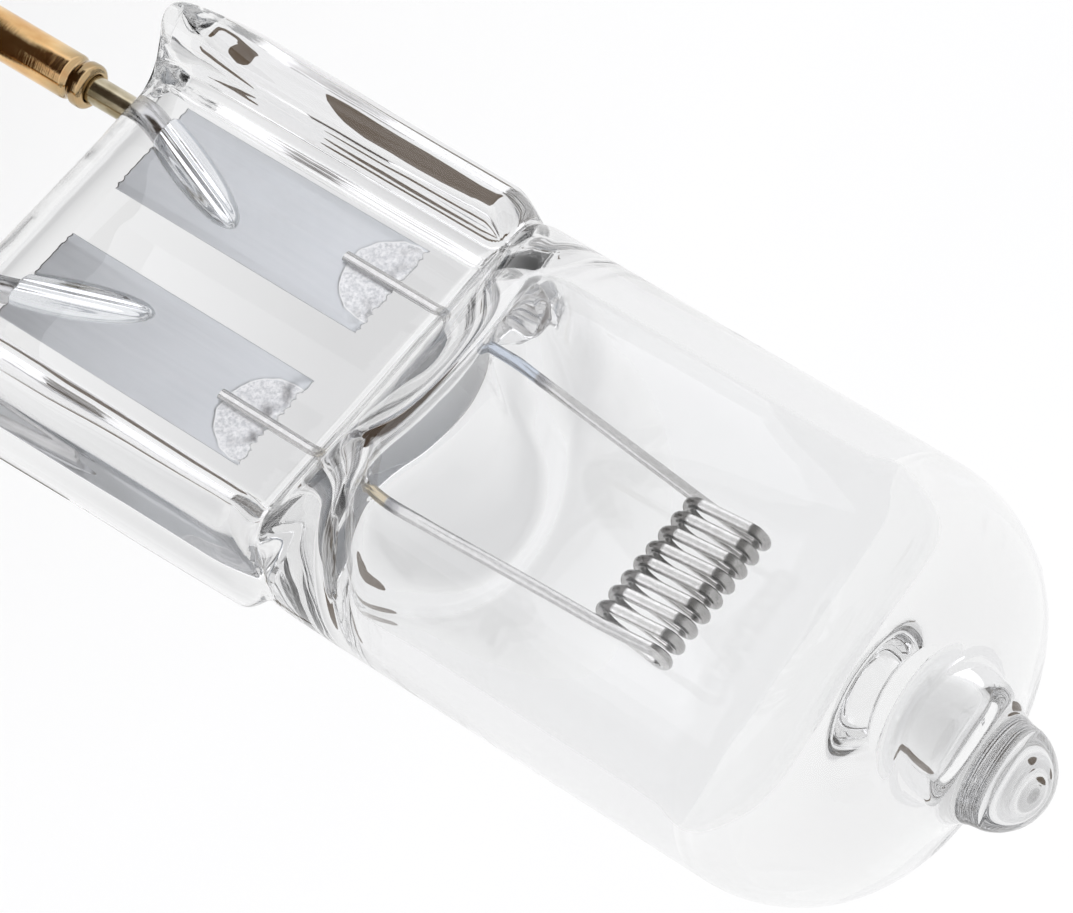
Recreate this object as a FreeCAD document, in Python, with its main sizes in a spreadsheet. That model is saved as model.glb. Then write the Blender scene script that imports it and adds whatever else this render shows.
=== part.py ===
import FreeCAD, Part
import math
import os

import Sketcher

# A two-pin halogen capsule bulb, in millimetres.
# The bulb stands on its pins: the origin is midway between the pin ends, +Z runs along the bulb's axis to
# the exhaust tip, X runs across the two pins and Y is square to the flat pinch seal.

# Driving sizes

SIZES = [
    # the two-pin base
    ("pin_spacing", 6.35),
    ("pin_diameter", 1.27),
    ("pin_length", 8.4),
    ("pin_end_round", 0.45),
    ("pin_collar_chamfer", 0.18),
    ("crimp_width", 0.42),
    ("crimp_depth", 0.08),
    ("crimp_below_collar", 0.32),
    # the leads between the pins and the foils
    ("lead_diameter", 0.76),
    ("lead_socket_depth", 3.0),
    ("lead_socket_clearance", 0.02),
    ("bare_lead_length", 1.4),
    ("lead_bend_above_base", 0.6),
    ("lead_bend_radius", 2.0),
    ("lead_lean_angle", 20.0),
    ("lead_tip_above_base", 4.5),
    ("lead_nose_round", 0.18),
    ("lead_weld_flat", 0.04),
    # the foils in the seal
    ("foil_width", 2.95),
    ("foil_length", 8.0),
    ("foil_thickness", 0.05),
    ("foil_spacing", 4.6),
    ("foil_above_base", 1.45),
    # the pinch seal
    ("web_length", 11.1),
    ("web_width", 9.2),
    ("web_thickness", 2.1),
    ("rib_width_at_base", 1.6),
    ("rib_width_at_bulb", 1.4),
    ("rib_thickness", 4.6),
    ("rib_round", 0.65),
    ("rib_run_out", 2.4),
    ("rib_run_out_sink", 0.7),
    ("rib_root_fillet", 0.4),
    ("base_round", 0.3),
    # the shoulder between the seal and the bulb
    ("shoulder_angle", 60.0),
    ("shoulder_round", 3.0),
    # the bulb, its dome and the exhaust tip
    ("bulb_diameter", 11.5),
    ("bulb_wall", 0.95),
    ("dome_edge_share", 0.695),
    ("dome_crown_radius", 12.0),
    ("dome_above_light", 4.4),
    ("tip_diameter", 2.68),
    ("tip_taper_angle", 8.0),
    ("tip_root_fillet", 0.7),
    ("tip_rim_above_dome", 0.86),
    ("tip_cap_radius", 1.4),
    # the hollow of the bulb
    ("floor_above_web", 1.55),
    ("floor_half_width", 0.4),
    ("floor_corner_round", 1.5),
    ("floor_shoulder_round", 2.2),
    ("hollow_edge_radius", 2.6),
    ("hollow_crown_radius", 11.0),
    ("hollow_top_below_dome", 2.4),
    ("exhaust_pit_diameter", 2.74),
    ("exhaust_pit_lip_round", 0.9),
    # the filament
    ("light_centre_height", 30.0),
    ("wire_diameter", 0.31),
    ("coil_turns", 8),
    ("coil_pitch", 0.493),
    ("coil_height", 2.12),
    ("coil_bend_radius", 0.36),
    ("leg_spacing", 4.9),
    ("leg_on_foil", 1.65),
    ("leg_straight_above_floor", 0.9),
    ("leg_bend_radius", 5.0),
    ("leg_weld_flat", 0.02),
]

doc = FreeCAD.newDocument("halogen_capsule_bulb")
sheet = doc.addObject("Spreadsheet::Sheet", "Sizes")
for row, (alias, value) in enumerate(SIZES, start=1):
    sheet.set("A%d" % row, alias)
    sheet.set("B%d" % row, str(value))
    sheet.setAlias("B%d" % row, alias)
doc.recompute()


def size(alias):
    return float(sheet.get(alias))


# Heights and offsets that several pieces share, as expressions of the sheet and as numbers.

BASE = "(Sizes.pin_length + Sizes.bare_lead_length)"
WEB_TOP = "(%s + Sizes.web_length)" % BASE
FLOOR = "(%s + Sizes.floor_above_web)" % WEB_TOP
DOME_START = "(Sizes.light_centre_height + Sizes.dome_above_light)"
INNER_RADIUS = "(Sizes.bulb_diameter / 2 - Sizes.bulb_wall)"
DOME_EDGE = "(Sizes.bulb_diameter / 2 * Sizes.dome_edge_share)"
CROWN_DROP = ("sqrt((Sizes.dome_crown_radius - %s) ^ 2 - (Sizes.bulb_diameter / 2 - %s) ^ 2)"
              % (DOME_EDGE, DOME_EDGE))
DOME_TOP = "(%s + Sizes.dome_crown_radius - %s)" % (DOME_START, CROWN_DROP)
TIP_RIM = "(%s + Sizes.tip_rim_above_dome)" % DOME_TOP
FOIL_BACK = "(Sizes.lead_weld_flat - Sizes.lead_diameter / 2)"

base_height = size("pin_length") + size("bare_lead_length")
web_top = base_height + size("web_length")
floor = web_top + size("floor_above_web")
dome_start = size("light_centre_height") + size("dome_above_light")
bulb_radius = size("bulb_diameter") / 2
inner_radius = bulb_radius - size("bulb_wall")
dome_edge = bulb_radius * size("dome_edge_share")
crown_drop = math.sqrt((size("dome_crown_radius") - dome_edge) ** 2 - (bulb_radius - dome_edge) ** 2)
dome_top = dome_start + size("dome_crown_radius") - crown_drop
tip_rim = dome_top + size("tip_rim_above_dome")
foil_back = size("lead_weld_flat") - size("lead_diameter") / 2
foil_front = foil_back - size("foil_thickness")

# how a sketch numbers the points of an edge and its own two axes
START, END, CENTRE = range(1, 4)
X_AXIS, Y_AXIS = range(-1, -3, -1)
ORIGIN = (X_AXIS, START)


# Sketch helpers

def vector(x, y, z=0.0):
    return FreeCAD.Vector(x, y, z)


def new_body(name):
    return doc.addObject("PartDesign::Body", name)


def plane_of(body, role):
    for feature in body.Origin.OriginFeatures:
        if feature.Role == role:
            return feature
    raise ValueError("no origin plane %s" % role)


def new_sketch(body, name, role, height=None):
    sketch = body.newObject("Sketcher::SketchObject", name)
    sketch.AttachmentSupport = [(plane_of(body, role), "")]
    sketch.MapMode = "FlatFace"
    if height:
        sketch.setExpression("AttachmentOffset.Base.z", height)
    return sketch


def line(sketch, start, end):
    return sketch.addGeometry(Part.LineSegment(vector(*start), vector(*end)), False)


def arc(sketch, centre, radius, first, last):
    circle = Part.Circle(vector(*centre), vector(0, 0, 1), radius)
    return sketch.addGeometry(Part.ArcOfCircle(circle, first, last), False)


def constrain(sketch, kind, *where):
    return sketch.addConstraint(Sketcher.Constraint(kind, *where))


def drive(sketch, kind, where, value, expression):
    index = sketch.addConstraint(Sketcher.Constraint(kind, *where, value))
    sketch.setExpression("Constraints[%d]" % index, expression)


def place(sketch, geometry, point, x_value, x_expression, y_value, y_expression):
    """Ties one point to the sketch's origin by its two distances."""
    drive(sketch, "DistanceX", ORIGIN + (geometry, point), x_value, x_expression)
    drive(sketch, "DistanceY", ORIGIN + (geometry, point), y_value, y_expression)


def chain(sketch, edges):
    """Joins edges into a closed loop. Each edge is (geometry, first point, last point)."""
    for (one, _, last), (two, first, _) in zip(edges, edges[1:] + edges[:1]):
        constrain(sketch, "Coincident", one, last, two, first)


def angle_of(centre, point):
    return math.atan2(point[1] - centre[1], point[0] - centre[0])


def toward(start, end, length):
    reach = math.hypot(end[0] - start[0], end[1] - start[1])
    return (start[0] + (end[0] - start[0]) * length / reach, start[1] + (end[1] - start[1]) * length / reach)


def rectangle(sketch, low_x, high_x, low_y, high_y):
    """A rectangle with each side given as (value, expression)."""
    corners = [(low_x[0], low_y[0]), (high_x[0], low_y[0]), (high_x[0], high_y[0]), (low_x[0], high_y[0])]
    sides = [line(sketch, a, b) for a, b in zip(corners, corners[1:] + corners[:1])]
    chain(sketch, [(side, START, END) for side in sides])
    for side, kind in zip(sides, ("Horizontal", "Vertical", "Horizontal", "Vertical")):
        constrain(sketch, kind, side)
    place(sketch, sides[0], START, *low_x, *low_y)
    place(sketch, sides[2], START, *high_x, *high_y)


def rounded_rectangle(sketch, low_x, high_x, half_y, corner):
    """A rectangle centred on the sketch's X axis, with round corners. Sizes are (value, expression)."""
    x0, x1, y1, r = low_x[0], high_x[0], half_y[0], corner[0]
    bottom = line(sketch, (x0 + r, -y1), (x1 - r, -y1))
    right = line(sketch, (x1, -y1 + r), (x1, y1 - r))
    top = line(sketch, (x1 - r, y1), (x0 + r, y1))
    left = line(sketch, (x0, y1 - r), (x0, -y1 + r))
    quarter = math.pi / 2
    centres = [(x1 - r, -y1 + r), (x1 - r, y1 - r), (x0 + r, y1 - r), (x0 + r, -y1 + r)]
    corners = [arc(sketch, centre, r, (k - 1) * quarter, k * quarter) for k, centre in enumerate(centres)]
    sides = [bottom, right, top, left]
    for k in range(4):
        constrain(sketch, "Tangent", sides[k], END, corners[k], START)
        constrain(sketch, "Tangent", corners[k], END, sides[(k + 1) % 4], START)
    constrain(sketch, "Horizontal", bottom)
    constrain(sketch, "Horizontal", top)
    constrain(sketch, "Vertical", left)
    for k in range(1, 4):
        constrain(sketch, "Equal", corners[0], corners[k])
    constrain(sketch, "Symmetric", right, START, right, END, X_AXIS)
    drive(sketch, "Radius", (corners[0],), r, corner[1])
    drive(sketch, "DistanceX", ORIGIN + (left, START), x0, low_x[1])
    drive(sketch, "DistanceX", ORIGIN + (right, START), x1, high_x[1])
    drive(sketch, "DistanceY", ORIGIN + (top, START), y1, half_y[1])


# Glass: the outside of the bulb, turned about the axis

def bulb_outside(body):
    sketch = new_sketch(body, "bulb_profile", "XZ_Plane")
    edge_radius, crown_radius = dome_edge, size("dome_crown_radius")
    edge_centre = (bulb_radius - edge_radius, dome_start)
    crown_centre = (0.0, dome_start - crown_drop)
    edge_end = toward(crown_centre, edge_centre, crown_radius)

    fillet, taper = size("tip_root_fillet"), math.radians(size("tip_taper_angle"))
    rim = (size("tip_diameter") / 2, tip_rim)
    # the neck widens downwards from the rim until its fillet touches the crown
    offset = (rim[0] + fillet * math.cos(taper), rim[1] + fillet * math.sin(taper) - crown_centre[1])
    along = offset[0] * math.sin(taper) - offset[1] * math.cos(taper)
    reach = crown_radius + fillet
    neck = -along - math.sqrt(along ** 2 - (offset[0] ** 2 + offset[1] ** 2 - reach ** 2))
    neck_end = (rim[0] + neck * math.sin(taper), rim[1] - neck * math.cos(taper))
    fillet_centre = (neck_end[0] + fillet * math.cos(taper), neck_end[1] + fillet * math.sin(taper))
    crown_end = toward(crown_centre, fillet_centre, crown_radius)
    cap_radius = size("tip_cap_radius")
    cap_centre = (0.0, tip_rim - math.sqrt(cap_radius ** 2 - rim[0] ** 2))

    bottom = line(sketch, (0, web_top), (bulb_radius, web_top))
    wall = line(sketch, (bulb_radius, web_top), (bulb_radius, dome_start))
    edge = arc(sketch, edge_centre, edge_radius, 0, angle_of(edge_centre, edge_end))
    crown = arc(sketch, crown_centre, crown_radius, angle_of(crown_centre, edge_end),
                angle_of(crown_centre, crown_end))
    root = arc(sketch, fillet_centre, fillet, angle_of(fillet_centre, neck_end),
               angle_of(fillet_centre, crown_end) + 2 * math.pi)
    neck_side = line(sketch, neck_end, rim)
    cap = arc(sketch, cap_centre, cap_radius, angle_of(cap_centre, rim), math.pi / 2)
    axis = line(sketch, (0, cap_centre[1] + cap_radius), (0, web_top))

    constrain(sketch, "Coincident", bottom, END, wall, START)
    constrain(sketch, "Tangent", wall, END, edge, START)
    constrain(sketch, "Tangent", edge, END, crown, START)
    constrain(sketch, "Tangent", crown, END, root, END)
    constrain(sketch, "Tangent", root, START, neck_side, START)
    constrain(sketch, "Coincident", neck_side, END, cap, START)
    constrain(sketch, "Coincident", cap, END, axis, START)
    constrain(sketch, "Coincident", axis, END, bottom, START)
    constrain(sketch, "Horizontal", bottom)
    constrain(sketch, "Vertical", wall)
    constrain(sketch, "PointOnObject", axis, START, Y_AXIS)
    constrain(sketch, "PointOnObject", axis, END, Y_AXIS)
    constrain(sketch, "PointOnObject", crown, CENTRE, Y_AXIS)
    constrain(sketch, "PointOnObject", cap, CENTRE, Y_AXIS)
    place(sketch, wall, START, bulb_radius, "Sizes.bulb_diameter / 2", web_top, WEB_TOP)
    drive(sketch, "DistanceY", ORIGIN + (wall, END), dome_start, DOME_START)
    drive(sketch, "Radius", (edge,), edge_radius, DOME_EDGE)
    drive(sketch, "Radius", (crown,), crown_radius, "Sizes.dome_crown_radius")
    drive(sketch, "Radius", (root,), fillet, "Sizes.tip_root_fillet")
    drive(sketch, "Radius", (cap,), cap_radius, "Sizes.tip_cap_radius")
    place(sketch, neck_side, END, rim[0], "Sizes.tip_diameter / 2", tip_rim, TIP_RIM)
    drive(sketch, "Angle", (axis, END, neck_side, START), taper, "Sizes.tip_taper_angle * 1deg")

    turned = body.newObject("PartDesign::Revolution", "bulb_turned")
    turned.Profile = sketch
    turned.ReferenceAxis = (sketch, ["V_Axis"])
    turned.Angle = 360
    doc.recompute()
    return turned


# Glass: the jaws press the soft tube flat from both sides, which leaves the sloping shoulder

def jaw_cut(body, name, start, outer, round_name, start_expressions, outer_expression, width):
    """Cuts away what lies outside the slope from start to the wall at outer, on both sides of the seal."""
    sketch = new_sketch(body, name + "_profile", "YZ_Plane")
    slope, radius = math.radians(size("shoulder_angle")), size(round_name)
    tangent = radius * math.tan(slope / 2)
    meet = (outer, start[1] + (outer - start[0]) / math.tan(slope))
    slope_end = toward(meet, start, tangent)
    wall_start = (outer, meet[1] + tangent)
    centre = (outer - radius, wall_start[1])
    clear = size("bulb_diameter")

    slope_side = line(sketch, start, slope_end)
    rounding = arc(sketch, centre, radius, angle_of(centre, slope_end), 0)
    top = line(sketch, wall_start, (clear, wall_start[1]))
    side = line(sketch, (clear, wall_start[1]), (clear, start[1]))
    bottom = line(sketch, (clear, start[1]), start)
    constrain(sketch, "Tangent", slope_side, END, rounding, START)
    constrain(sketch, "Coincident", rounding, END, top, START)
    constrain(sketch, "Coincident", top, END, side, START)
    constrain(sketch, "Coincident", side, END, bottom, START)
    constrain(sketch, "Coincident", bottom, END, slope_side, START)
    constrain(sketch, "Horizontal", top)
    constrain(sketch, "Vertical", side)
    constrain(sketch, "Horizontal", bottom)
    constrain(sketch, "PointOnObject", rounding, CENTRE, top)
    place(sketch, slope_side, START, start[0], start_expressions[0], start[1], start_expressions[1])
    drive(sketch, "DistanceX", ORIGIN + (rounding, END), outer, outer_expression)
    drive(sketch, "DistanceX", ORIGIN + (side, END), clear, "Sizes.bulb_diameter")
    drive(sketch, "Radius", (rounding,), radius, "Sizes." + round_name)
    drive(sketch, "Angle", (bottom, END, slope_side, START), math.pi / 2 - slope,
          "(90 - Sizes.shoulder_angle) * 1deg")

    cut = body.newObject("PartDesign::Pocket", name)
    cut.Profile = sketch
    cut.Midplane = True
    cut.setExpression("Length", width)
    other_side = body.newObject("PartDesign::Mirrored", name + "_other_side")
    other_side.Originals = [cut]
    other_side.MirrorPlane = (plane_of(body, "XZ_Plane"), [""])
    body.Tip = other_side
    before = body.Shape.Volume
    doc.recompute()
    if not body.Shape.Volume < before:
        raise RuntimeError("%s cut nothing" % name)


# Glass: the flat web between the jaws, and the two ribs of glass squeezed out beside it

def seal(body):
    web_sketch = new_sketch(body, "web_section", "XY_Plane", BASE)
    half_width = size("web_width") / 2 + size("rib_width_at_bulb") / 2
    width_expression = "(Sizes.web_width / 2 + Sizes.rib_width_at_bulb / 2)"
    half_thick = size("web_thickness") / 2
    rectangle(web_sketch, (-half_width, "-" + width_expression), (half_width, width_expression),
              (-half_thick, "-Sizes.web_thickness / 2"), (half_thick, "Sizes.web_thickness / 2"))
    web = body.newObject("PartDesign::Pad", "web")
    web.Profile = web_sketch
    web.setExpression("Length", "Sizes.web_length")
    doc.recompute()

    inner = size("web_width") / 2
    inner_expression = "Sizes.web_width / 2"
    half_rib, corner = size("rib_thickness") / 2, (size("rib_round"), "Sizes.rib_round")
    half_rib_size = (half_rib, "Sizes.rib_thickness / 2")
    at_base = new_sketch(body, "rib_at_base", "XY_Plane", BASE)
    rounded_rectangle(at_base, (inner, inner_expression),
                      (inner + size("rib_width_at_base"), inner_expression + " + Sizes.rib_width_at_base"),
                      half_rib_size, corner)
    at_bulb = new_sketch(body, "rib_at_bulb", "XY_Plane", WEB_TOP)
    rounded_rectangle(at_bulb, (inner, inner_expression),
                      (inner + size("rib_width_at_bulb"), inner_expression + " + Sizes.rib_width_at_bulb"),
                      half_rib_size, corner)
    # the rib runs out where it sinks into the side of the bulb
    sink = size("rib_run_out_sink")
    in_bulb = new_sketch(body, "rib_run_out", "XY_Plane", WEB_TOP + " + Sizes.rib_run_out")
    rounded_rectangle(in_bulb, (inner - sink, inner_expression + " - Sizes.rib_run_out_sink"),
                      (inner + size("rib_width_at_bulb") - sink,
                       inner_expression + " + Sizes.rib_width_at_bulb - Sizes.rib_run_out_sink"),
                      (half_rib - sink, "Sizes.rib_thickness / 2 - Sizes.rib_run_out_sink"), corner)
    rib = body.newObject("PartDesign::AdditiveLoft", "rib")
    rib.Profile = at_base
    rib.Sections = [at_bulb, in_bulb]
    rib.Ruled = True
    doc.recompute()
    other_rib = body.newObject("PartDesign::Mirrored", "other_rib")
    other_rib.Originals = [rib]
    other_rib.MirrorPlane = (plane_of(body, "YZ_Plane"), [""])
    body.Tip = other_rib
    doc.recompute()


def round_edges(body, name, radius, wanted):
    """Rounds the edges of the body's last feature whose middle and box pass the test."""
    base = body.Tip
    names = ["Edge%d" % k for k, edge in enumerate(base.Shape.Edges, start=1) if wanted(edge.BoundBox)]
    if not names:
        raise RuntimeError("%s found no edge" % name)
    fillet = body.newObject("PartDesign::Fillet", name)
    fillet.Base = (base, names)
    fillet.setExpression("Radius", radius)
    doc.recompute()


def is_rib_root(box):
    on_web = abs(abs(box.Center.y) - size("web_thickness") / 2) < 1e-4
    at_rib = abs(abs(box.Center.x) - size("web_width") / 2) < 1e-4
    return on_web and at_rib and box.ZLength > size("web_length") / 2


def is_base_edge(box):
    return abs(box.ZMax - base_height) < 1e-4


# Glass: the hollow, whose top lies below the thick dome and ends in the pit left by the exhaust tube

def bulb_hollow(body):
    sketch = new_sketch(body, "hollow_profile", "XZ_Plane")
    edge_radius, crown_radius = size("hollow_edge_radius"), size("hollow_crown_radius")
    crown_centre = (0.0, dome_top - size("hollow_top_below_dome") - crown_radius)
    edge_x = inner_radius - edge_radius
    edge_centre = (edge_x, crown_centre[1] + math.sqrt((crown_radius - edge_radius) ** 2 - edge_x ** 2))
    edge_end = toward(crown_centre, edge_centre, crown_radius)
    pit, lip_round = size("exhaust_pit_diameter") / 2, size("exhaust_pit_lip_round")
    lip_x = pit + lip_round
    lip_centre = (lip_x, crown_centre[1] + math.sqrt((crown_radius + lip_round) ** 2 - lip_x ** 2))
    crown_end = toward(crown_centre, lip_centre, crown_radius)
    corner = size("floor_corner_round")
    corner_centre = (inner_radius - corner, floor + corner)

    bottom = line(sketch, (0, floor), (inner_radius - corner, floor))
    low_corner = arc(sketch, corner_centre, corner, -math.pi / 2, 0)
    wall = line(sketch, (inner_radius, floor + corner), (inner_radius, edge_centre[1]))
    edge = arc(sketch, edge_centre, edge_radius, 0, angle_of(edge_centre, edge_end))
    crown = arc(sketch, crown_centre, crown_radius, angle_of(crown_centre, edge_end),
                angle_of(crown_centre, crown_end))
    lip = arc(sketch, lip_centre, lip_round, math.pi, angle_of(lip_centre, crown_end) + 2 * math.pi)
    pit_end = arc(sketch, (0, lip_centre[1]), pit, 0, math.pi / 2)
    axis = line(sketch, (0, lip_centre[1] + pit), (0, floor))

    constrain(sketch, "Tangent", bottom, END, low_corner, START)
    constrain(sketch, "Tangent", low_corner, END, wall, START)
    constrain(sketch, "Tangent", wall, END, edge, START)
    constrain(sketch, "Tangent", edge, END, crown, START)
    constrain(sketch, "Tangent", crown, END, lip, END)
    constrain(sketch, "Tangent", lip, START, pit_end, START)
    constrain(sketch, "Coincident", pit_end, END, axis, START)
    constrain(sketch, "Coincident", axis, END, bottom, START)
    constrain(sketch, "Horizontal", bottom)
    constrain(sketch, "Vertical", wall)
    for geometry, point in ((axis, START), (axis, END), (crown, CENTRE), (pit_end, CENTRE)):
        constrain(sketch, "PointOnObject", geometry, point, Y_AXIS)
    drive(sketch, "DistanceY", ORIGIN + (bottom, START), floor, FLOOR)
    drive(sketch, "DistanceX", ORIGIN + (wall, START), inner_radius, INNER_RADIUS)
    drive(sketch, "DistanceY", ORIGIN + (crown, CENTRE), crown_centre[1],
          DOME_TOP + " - Sizes.hollow_top_below_dome - Sizes.hollow_crown_radius")
    drive(sketch, "Radius", (low_corner,), corner, "Sizes.floor_corner_round")
    drive(sketch, "Radius", (edge,), edge_radius, "Sizes.hollow_edge_radius")
    drive(sketch, "Radius", (crown,), crown_radius, "Sizes.hollow_crown_radius")
    drive(sketch, "Radius", (lip,), lip_round, "Sizes.exhaust_pit_lip_round")
    drive(sketch, "Radius", (pit_end,), pit, "Sizes.exhaust_pit_diameter / 2")
    drive(sketch, "DistanceY", ORIGIN + (pit_end, CENTRE), lip_centre[1],
          "%s - Sizes.hollow_top_below_dome - Sizes.hollow_crown_radius + sqrt((Sizes.hollow_crown_radius"
          " + Sizes.exhaust_pit_lip_round) ^ 2 - (Sizes.exhaust_pit_diameter / 2 + Sizes.exhaust_pit_lip_round)"
          " ^ 2)" % DOME_TOP)

    turned = body.newObject("PartDesign::Revolution", "hollow_turned")
    turned.Profile = sketch
    turned.ReferenceAxis = (sketch, ["V_Axis"])
    turned.Angle = 360
    doc.recompute()


# Base: contact pins, leads and foils, one of each on either side

def contact_pin(side, name):
    body = new_body(name + "_body")
    sketch = new_sketch(body, name + "_profile", "XZ_Plane")
    radius, length = size("pin_diameter") / 2, size("pin_length")
    end_round, chamfer = size("pin_end_round"), size("pin_collar_chamfer")
    socket = size("lead_diameter") / 2 + size("lead_socket_clearance")
    socket_floor = length - size("lead_socket_depth")
    quarter = math.pi / 2

    foot = line(sketch, (0, 0), (radius - end_round, 0))
    foot_round = arc(sketch, (radius - end_round, end_round), end_round, -quarter, 0)
    outside = line(sketch, (radius, end_round), (radius, length - chamfer))
    collar = line(sketch, (radius, length - chamfer), (radius - chamfer, length))
    mouth = line(sketch, (radius - chamfer, length), (socket, length))
    socket_side = line(sketch, (socket, length), (socket, socket_floor))
    socket_end = line(sketch, (socket, socket_floor), (0, socket_floor))
    axis = line(sketch, (0, socket_floor), (0, 0))
    constrain(sketch, "Tangent", foot, END, foot_round, START)
    constrain(sketch, "Tangent", foot_round, END, outside, START)
    constrain(sketch, "Coincident", outside, END, collar, START)
    constrain(sketch, "Coincident", collar, END, mouth, START)
    constrain(sketch, "Coincident", mouth, END, socket_side, START)
    constrain(sketch, "Coincident", socket_side, END, socket_end, START)
    constrain(sketch, "Coincident", socket_end, END, axis, START)
    constrain(sketch, "Coincident", axis, END, foot, START)
    constrain(sketch, "Coincident", axis, END, *ORIGIN)
    for geometry, kind in ((foot, "Horizontal"), (outside, "Vertical"), (mouth, "Horizontal"),
                           (socket_side, "Vertical"), (socket_end, "Horizontal"), (axis, "Vertical")):
        constrain(sketch, kind, geometry)
    drive(sketch, "Radius", (foot_round,), end_round, "Sizes.pin_end_round")
    drive(sketch, "DistanceX", (collar, END, collar, START), chamfer, "Sizes.pin_collar_chamfer")
    drive(sketch, "DistanceY", (collar, START, collar, END), chamfer, "Sizes.pin_collar_chamfer")
    drive(sketch, "DistanceX", ORIGIN + (outside, START), radius, "Sizes.pin_diameter / 2")
    drive(sketch, "DistanceY", ORIGIN + (mouth, END), length, "Sizes.pin_length")
    drive(sketch, "DistanceX", ORIGIN + (socket_side, END), socket,
          "Sizes.lead_diameter / 2 + Sizes.lead_socket_clearance")
    drive(sketch, "DistanceY", (socket_side, END, socket_side, START), size("lead_socket_depth"),
          "Sizes.lead_socket_depth")
    turned = body.newObject("PartDesign::Revolution", name + "_turned")
    turned.Profile = sketch
    turned.ReferenceAxis = (sketch, ["V_Axis"])
    turned.Angle = 360
    doc.recompute()

    # the shallow V-shaped ring where the pin is crimped on the lead
    ring = new_sketch(body, name + "_crimp_profile", "XZ_Plane")
    depth, width = size("crimp_depth"), size("crimp_width")
    ring_top = length - chamfer - size("crimp_below_collar")
    ring_top_expression = "Sizes.pin_length - Sizes.pin_collar_chamfer - Sizes.crimp_below_collar"
    upper = line(ring, (radius, ring_top), (radius - depth, ring_top - width / 2))
    lower = line(ring, (radius - depth, ring_top - width / 2), (radius, ring_top - width))
    open_side = line(ring, (radius, ring_top - width), (radius, ring_top))
    chain(ring, [(upper, START, END), (lower, START, END), (open_side, START, END)])
    constrain(ring, "Vertical", open_side)
    constrain(ring, "Equal", upper, lower)
    place(ring, upper, START, radius, "Sizes.pin_diameter / 2", ring_top, ring_top_expression)
    drive(ring, "DistanceX", (upper, END, upper, START), depth, "Sizes.crimp_depth")
    drive(ring, "DistanceY", (open_side, START, open_side, END), width, "Sizes.crimp_width")
    crimp = body.newObject("PartDesign::Groove", name + "_crimp")
    crimp.Profile = ring
    crimp.ReferenceAxis = (ring, ["V_Axis"])
    crimp.Angle = 360
    before = body.Shape.Volume
    doc.recompute()
    if not body.Shape.Volume < before:
        raise RuntimeError("%s has no crimp" % name)
    body.setExpression("Placement.Base.x", "%d * Sizes.pin_spacing / 2" % side)
    body.Label = name
    return body


def lead_wire(side, name):
    body = new_body(name + "_body")
    path = new_sketch(body, name + "_path", "XZ_Plane")
    x = side * size("pin_spacing") / 2
    lean = math.radians(size("lead_lean_angle"))
    bend_radius = size("lead_bend_radius")
    low = size("pin_length") - size("lead_socket_depth")
    bend = base_height + size("lead_bend_above_base")
    high = base_height + size("lead_tip_above_base")
    tangent = bend_radius * math.tan(lean / 2)
    rise = high - bend
    bend_start = (x, bend - tangent)
    bend_end = (x - side * tangent * math.sin(lean), bend + tangent * math.cos(lean))
    tip = (x - side * rise * math.tan(lean), high)
    centre = (x - side * bend_radius, bend_start[1])

    upright = line(path, (x, low), bend_start)
    if side > 0:
        curve = arc(path, centre, bend_radius, 0, lean)
        curve_start, curve_end = START, END
    else:
        curve = arc(path, centre, bend_radius, math.pi - lean, math.pi)
        curve_start, curve_end = END, START
    slant = line(path, bend_end, tip)
    constrain(path, "Vertical", upright)
    constrain(path, "Tangent", upright, END, curve, curve_start)
    constrain(path, "Tangent", curve, curve_end, slant, START)
    place(path, upright, START, x, "%d * Sizes.pin_spacing / 2" % side, low,
          "Sizes.pin_length - Sizes.lead_socket_depth")
    drive(path, "Radius", (curve,), bend_radius, "Sizes.lead_bend_radius")
    drive(path, "DistanceY", ORIGIN + (upright, END), bend_start[1],
          BASE + " + Sizes.lead_bend_above_base"
          " - Sizes.lead_bend_radius * tan(Sizes.lead_lean_angle * 1deg / 2)")
    place(path, slant, END, tip[0],
          "%d * (Sizes.pin_spacing / 2 - (Sizes.lead_tip_above_base - Sizes.lead_bend_above_base)"
          " * tan(Sizes.lead_lean_angle * 1deg))" % side,
          high, BASE + " + Sizes.lead_tip_above_base")

    section = new_sketch(body, name + "_section", "XY_Plane", "Sizes.pin_length - Sizes.lead_socket_depth")
    circle = section.addGeometry(Part.Circle(vector(x, 0), vector(0, 0, 1), size("lead_diameter") / 2), False)
    drive(section, "Radius", (circle,), size("lead_diameter") / 2, "Sizes.lead_diameter / 2")
    drive(section, "DistanceX", ORIGIN + (circle, CENTRE), x, "%d * Sizes.pin_spacing / 2" % side)
    constrain(section, "PointOnObject", circle, CENTRE, X_AXIS)
    pipe = body.newObject("PartDesign::AdditivePipe", name + "_wire")
    pipe.Profile = section
    pipe.Spine = path
    doc.recompute()
    highest = max(range(len(pipe.Shape.Edges)), key=lambda k: pipe.Shape.Edges[k].BoundBox.ZMax
                  if len(pipe.Shape.Edges[k].Vertexes) == 1 else 0)
    nose = body.newObject("PartDesign::Fillet", name + "_nose")
    nose.Base = (pipe, ["Edge%d" % (highest + 1)])
    nose.setExpression("Radius", "Sizes.lead_nose_round")
    doc.recompute()
    return body


def foil(side, name):
    strip = doc.addObject("Part::Box", name + "_strip")
    strip.setExpression("Length", "Sizes.foil_width")
    strip.setExpression("Width", "Sizes.foil_thickness")
    strip.setExpression("Height", "Sizes.foil_length")
    strip.setExpression("Placement.Base.x", "%d * Sizes.foil_spacing / 2 - Sizes.foil_width / 2" % side)
    strip.setExpression("Placement.Base.y", FOIL_BACK + " - Sizes.foil_thickness")
    strip.setExpression("Placement.Base.z", BASE + " + Sizes.foil_above_base")
    strip.Label = name
    return strip


def cut(name, base, tool):
    result = doc.addObject("Part::Cut", name)
    result.Base = base
    result.Tool = tool
    doc.recompute()
    return result


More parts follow.
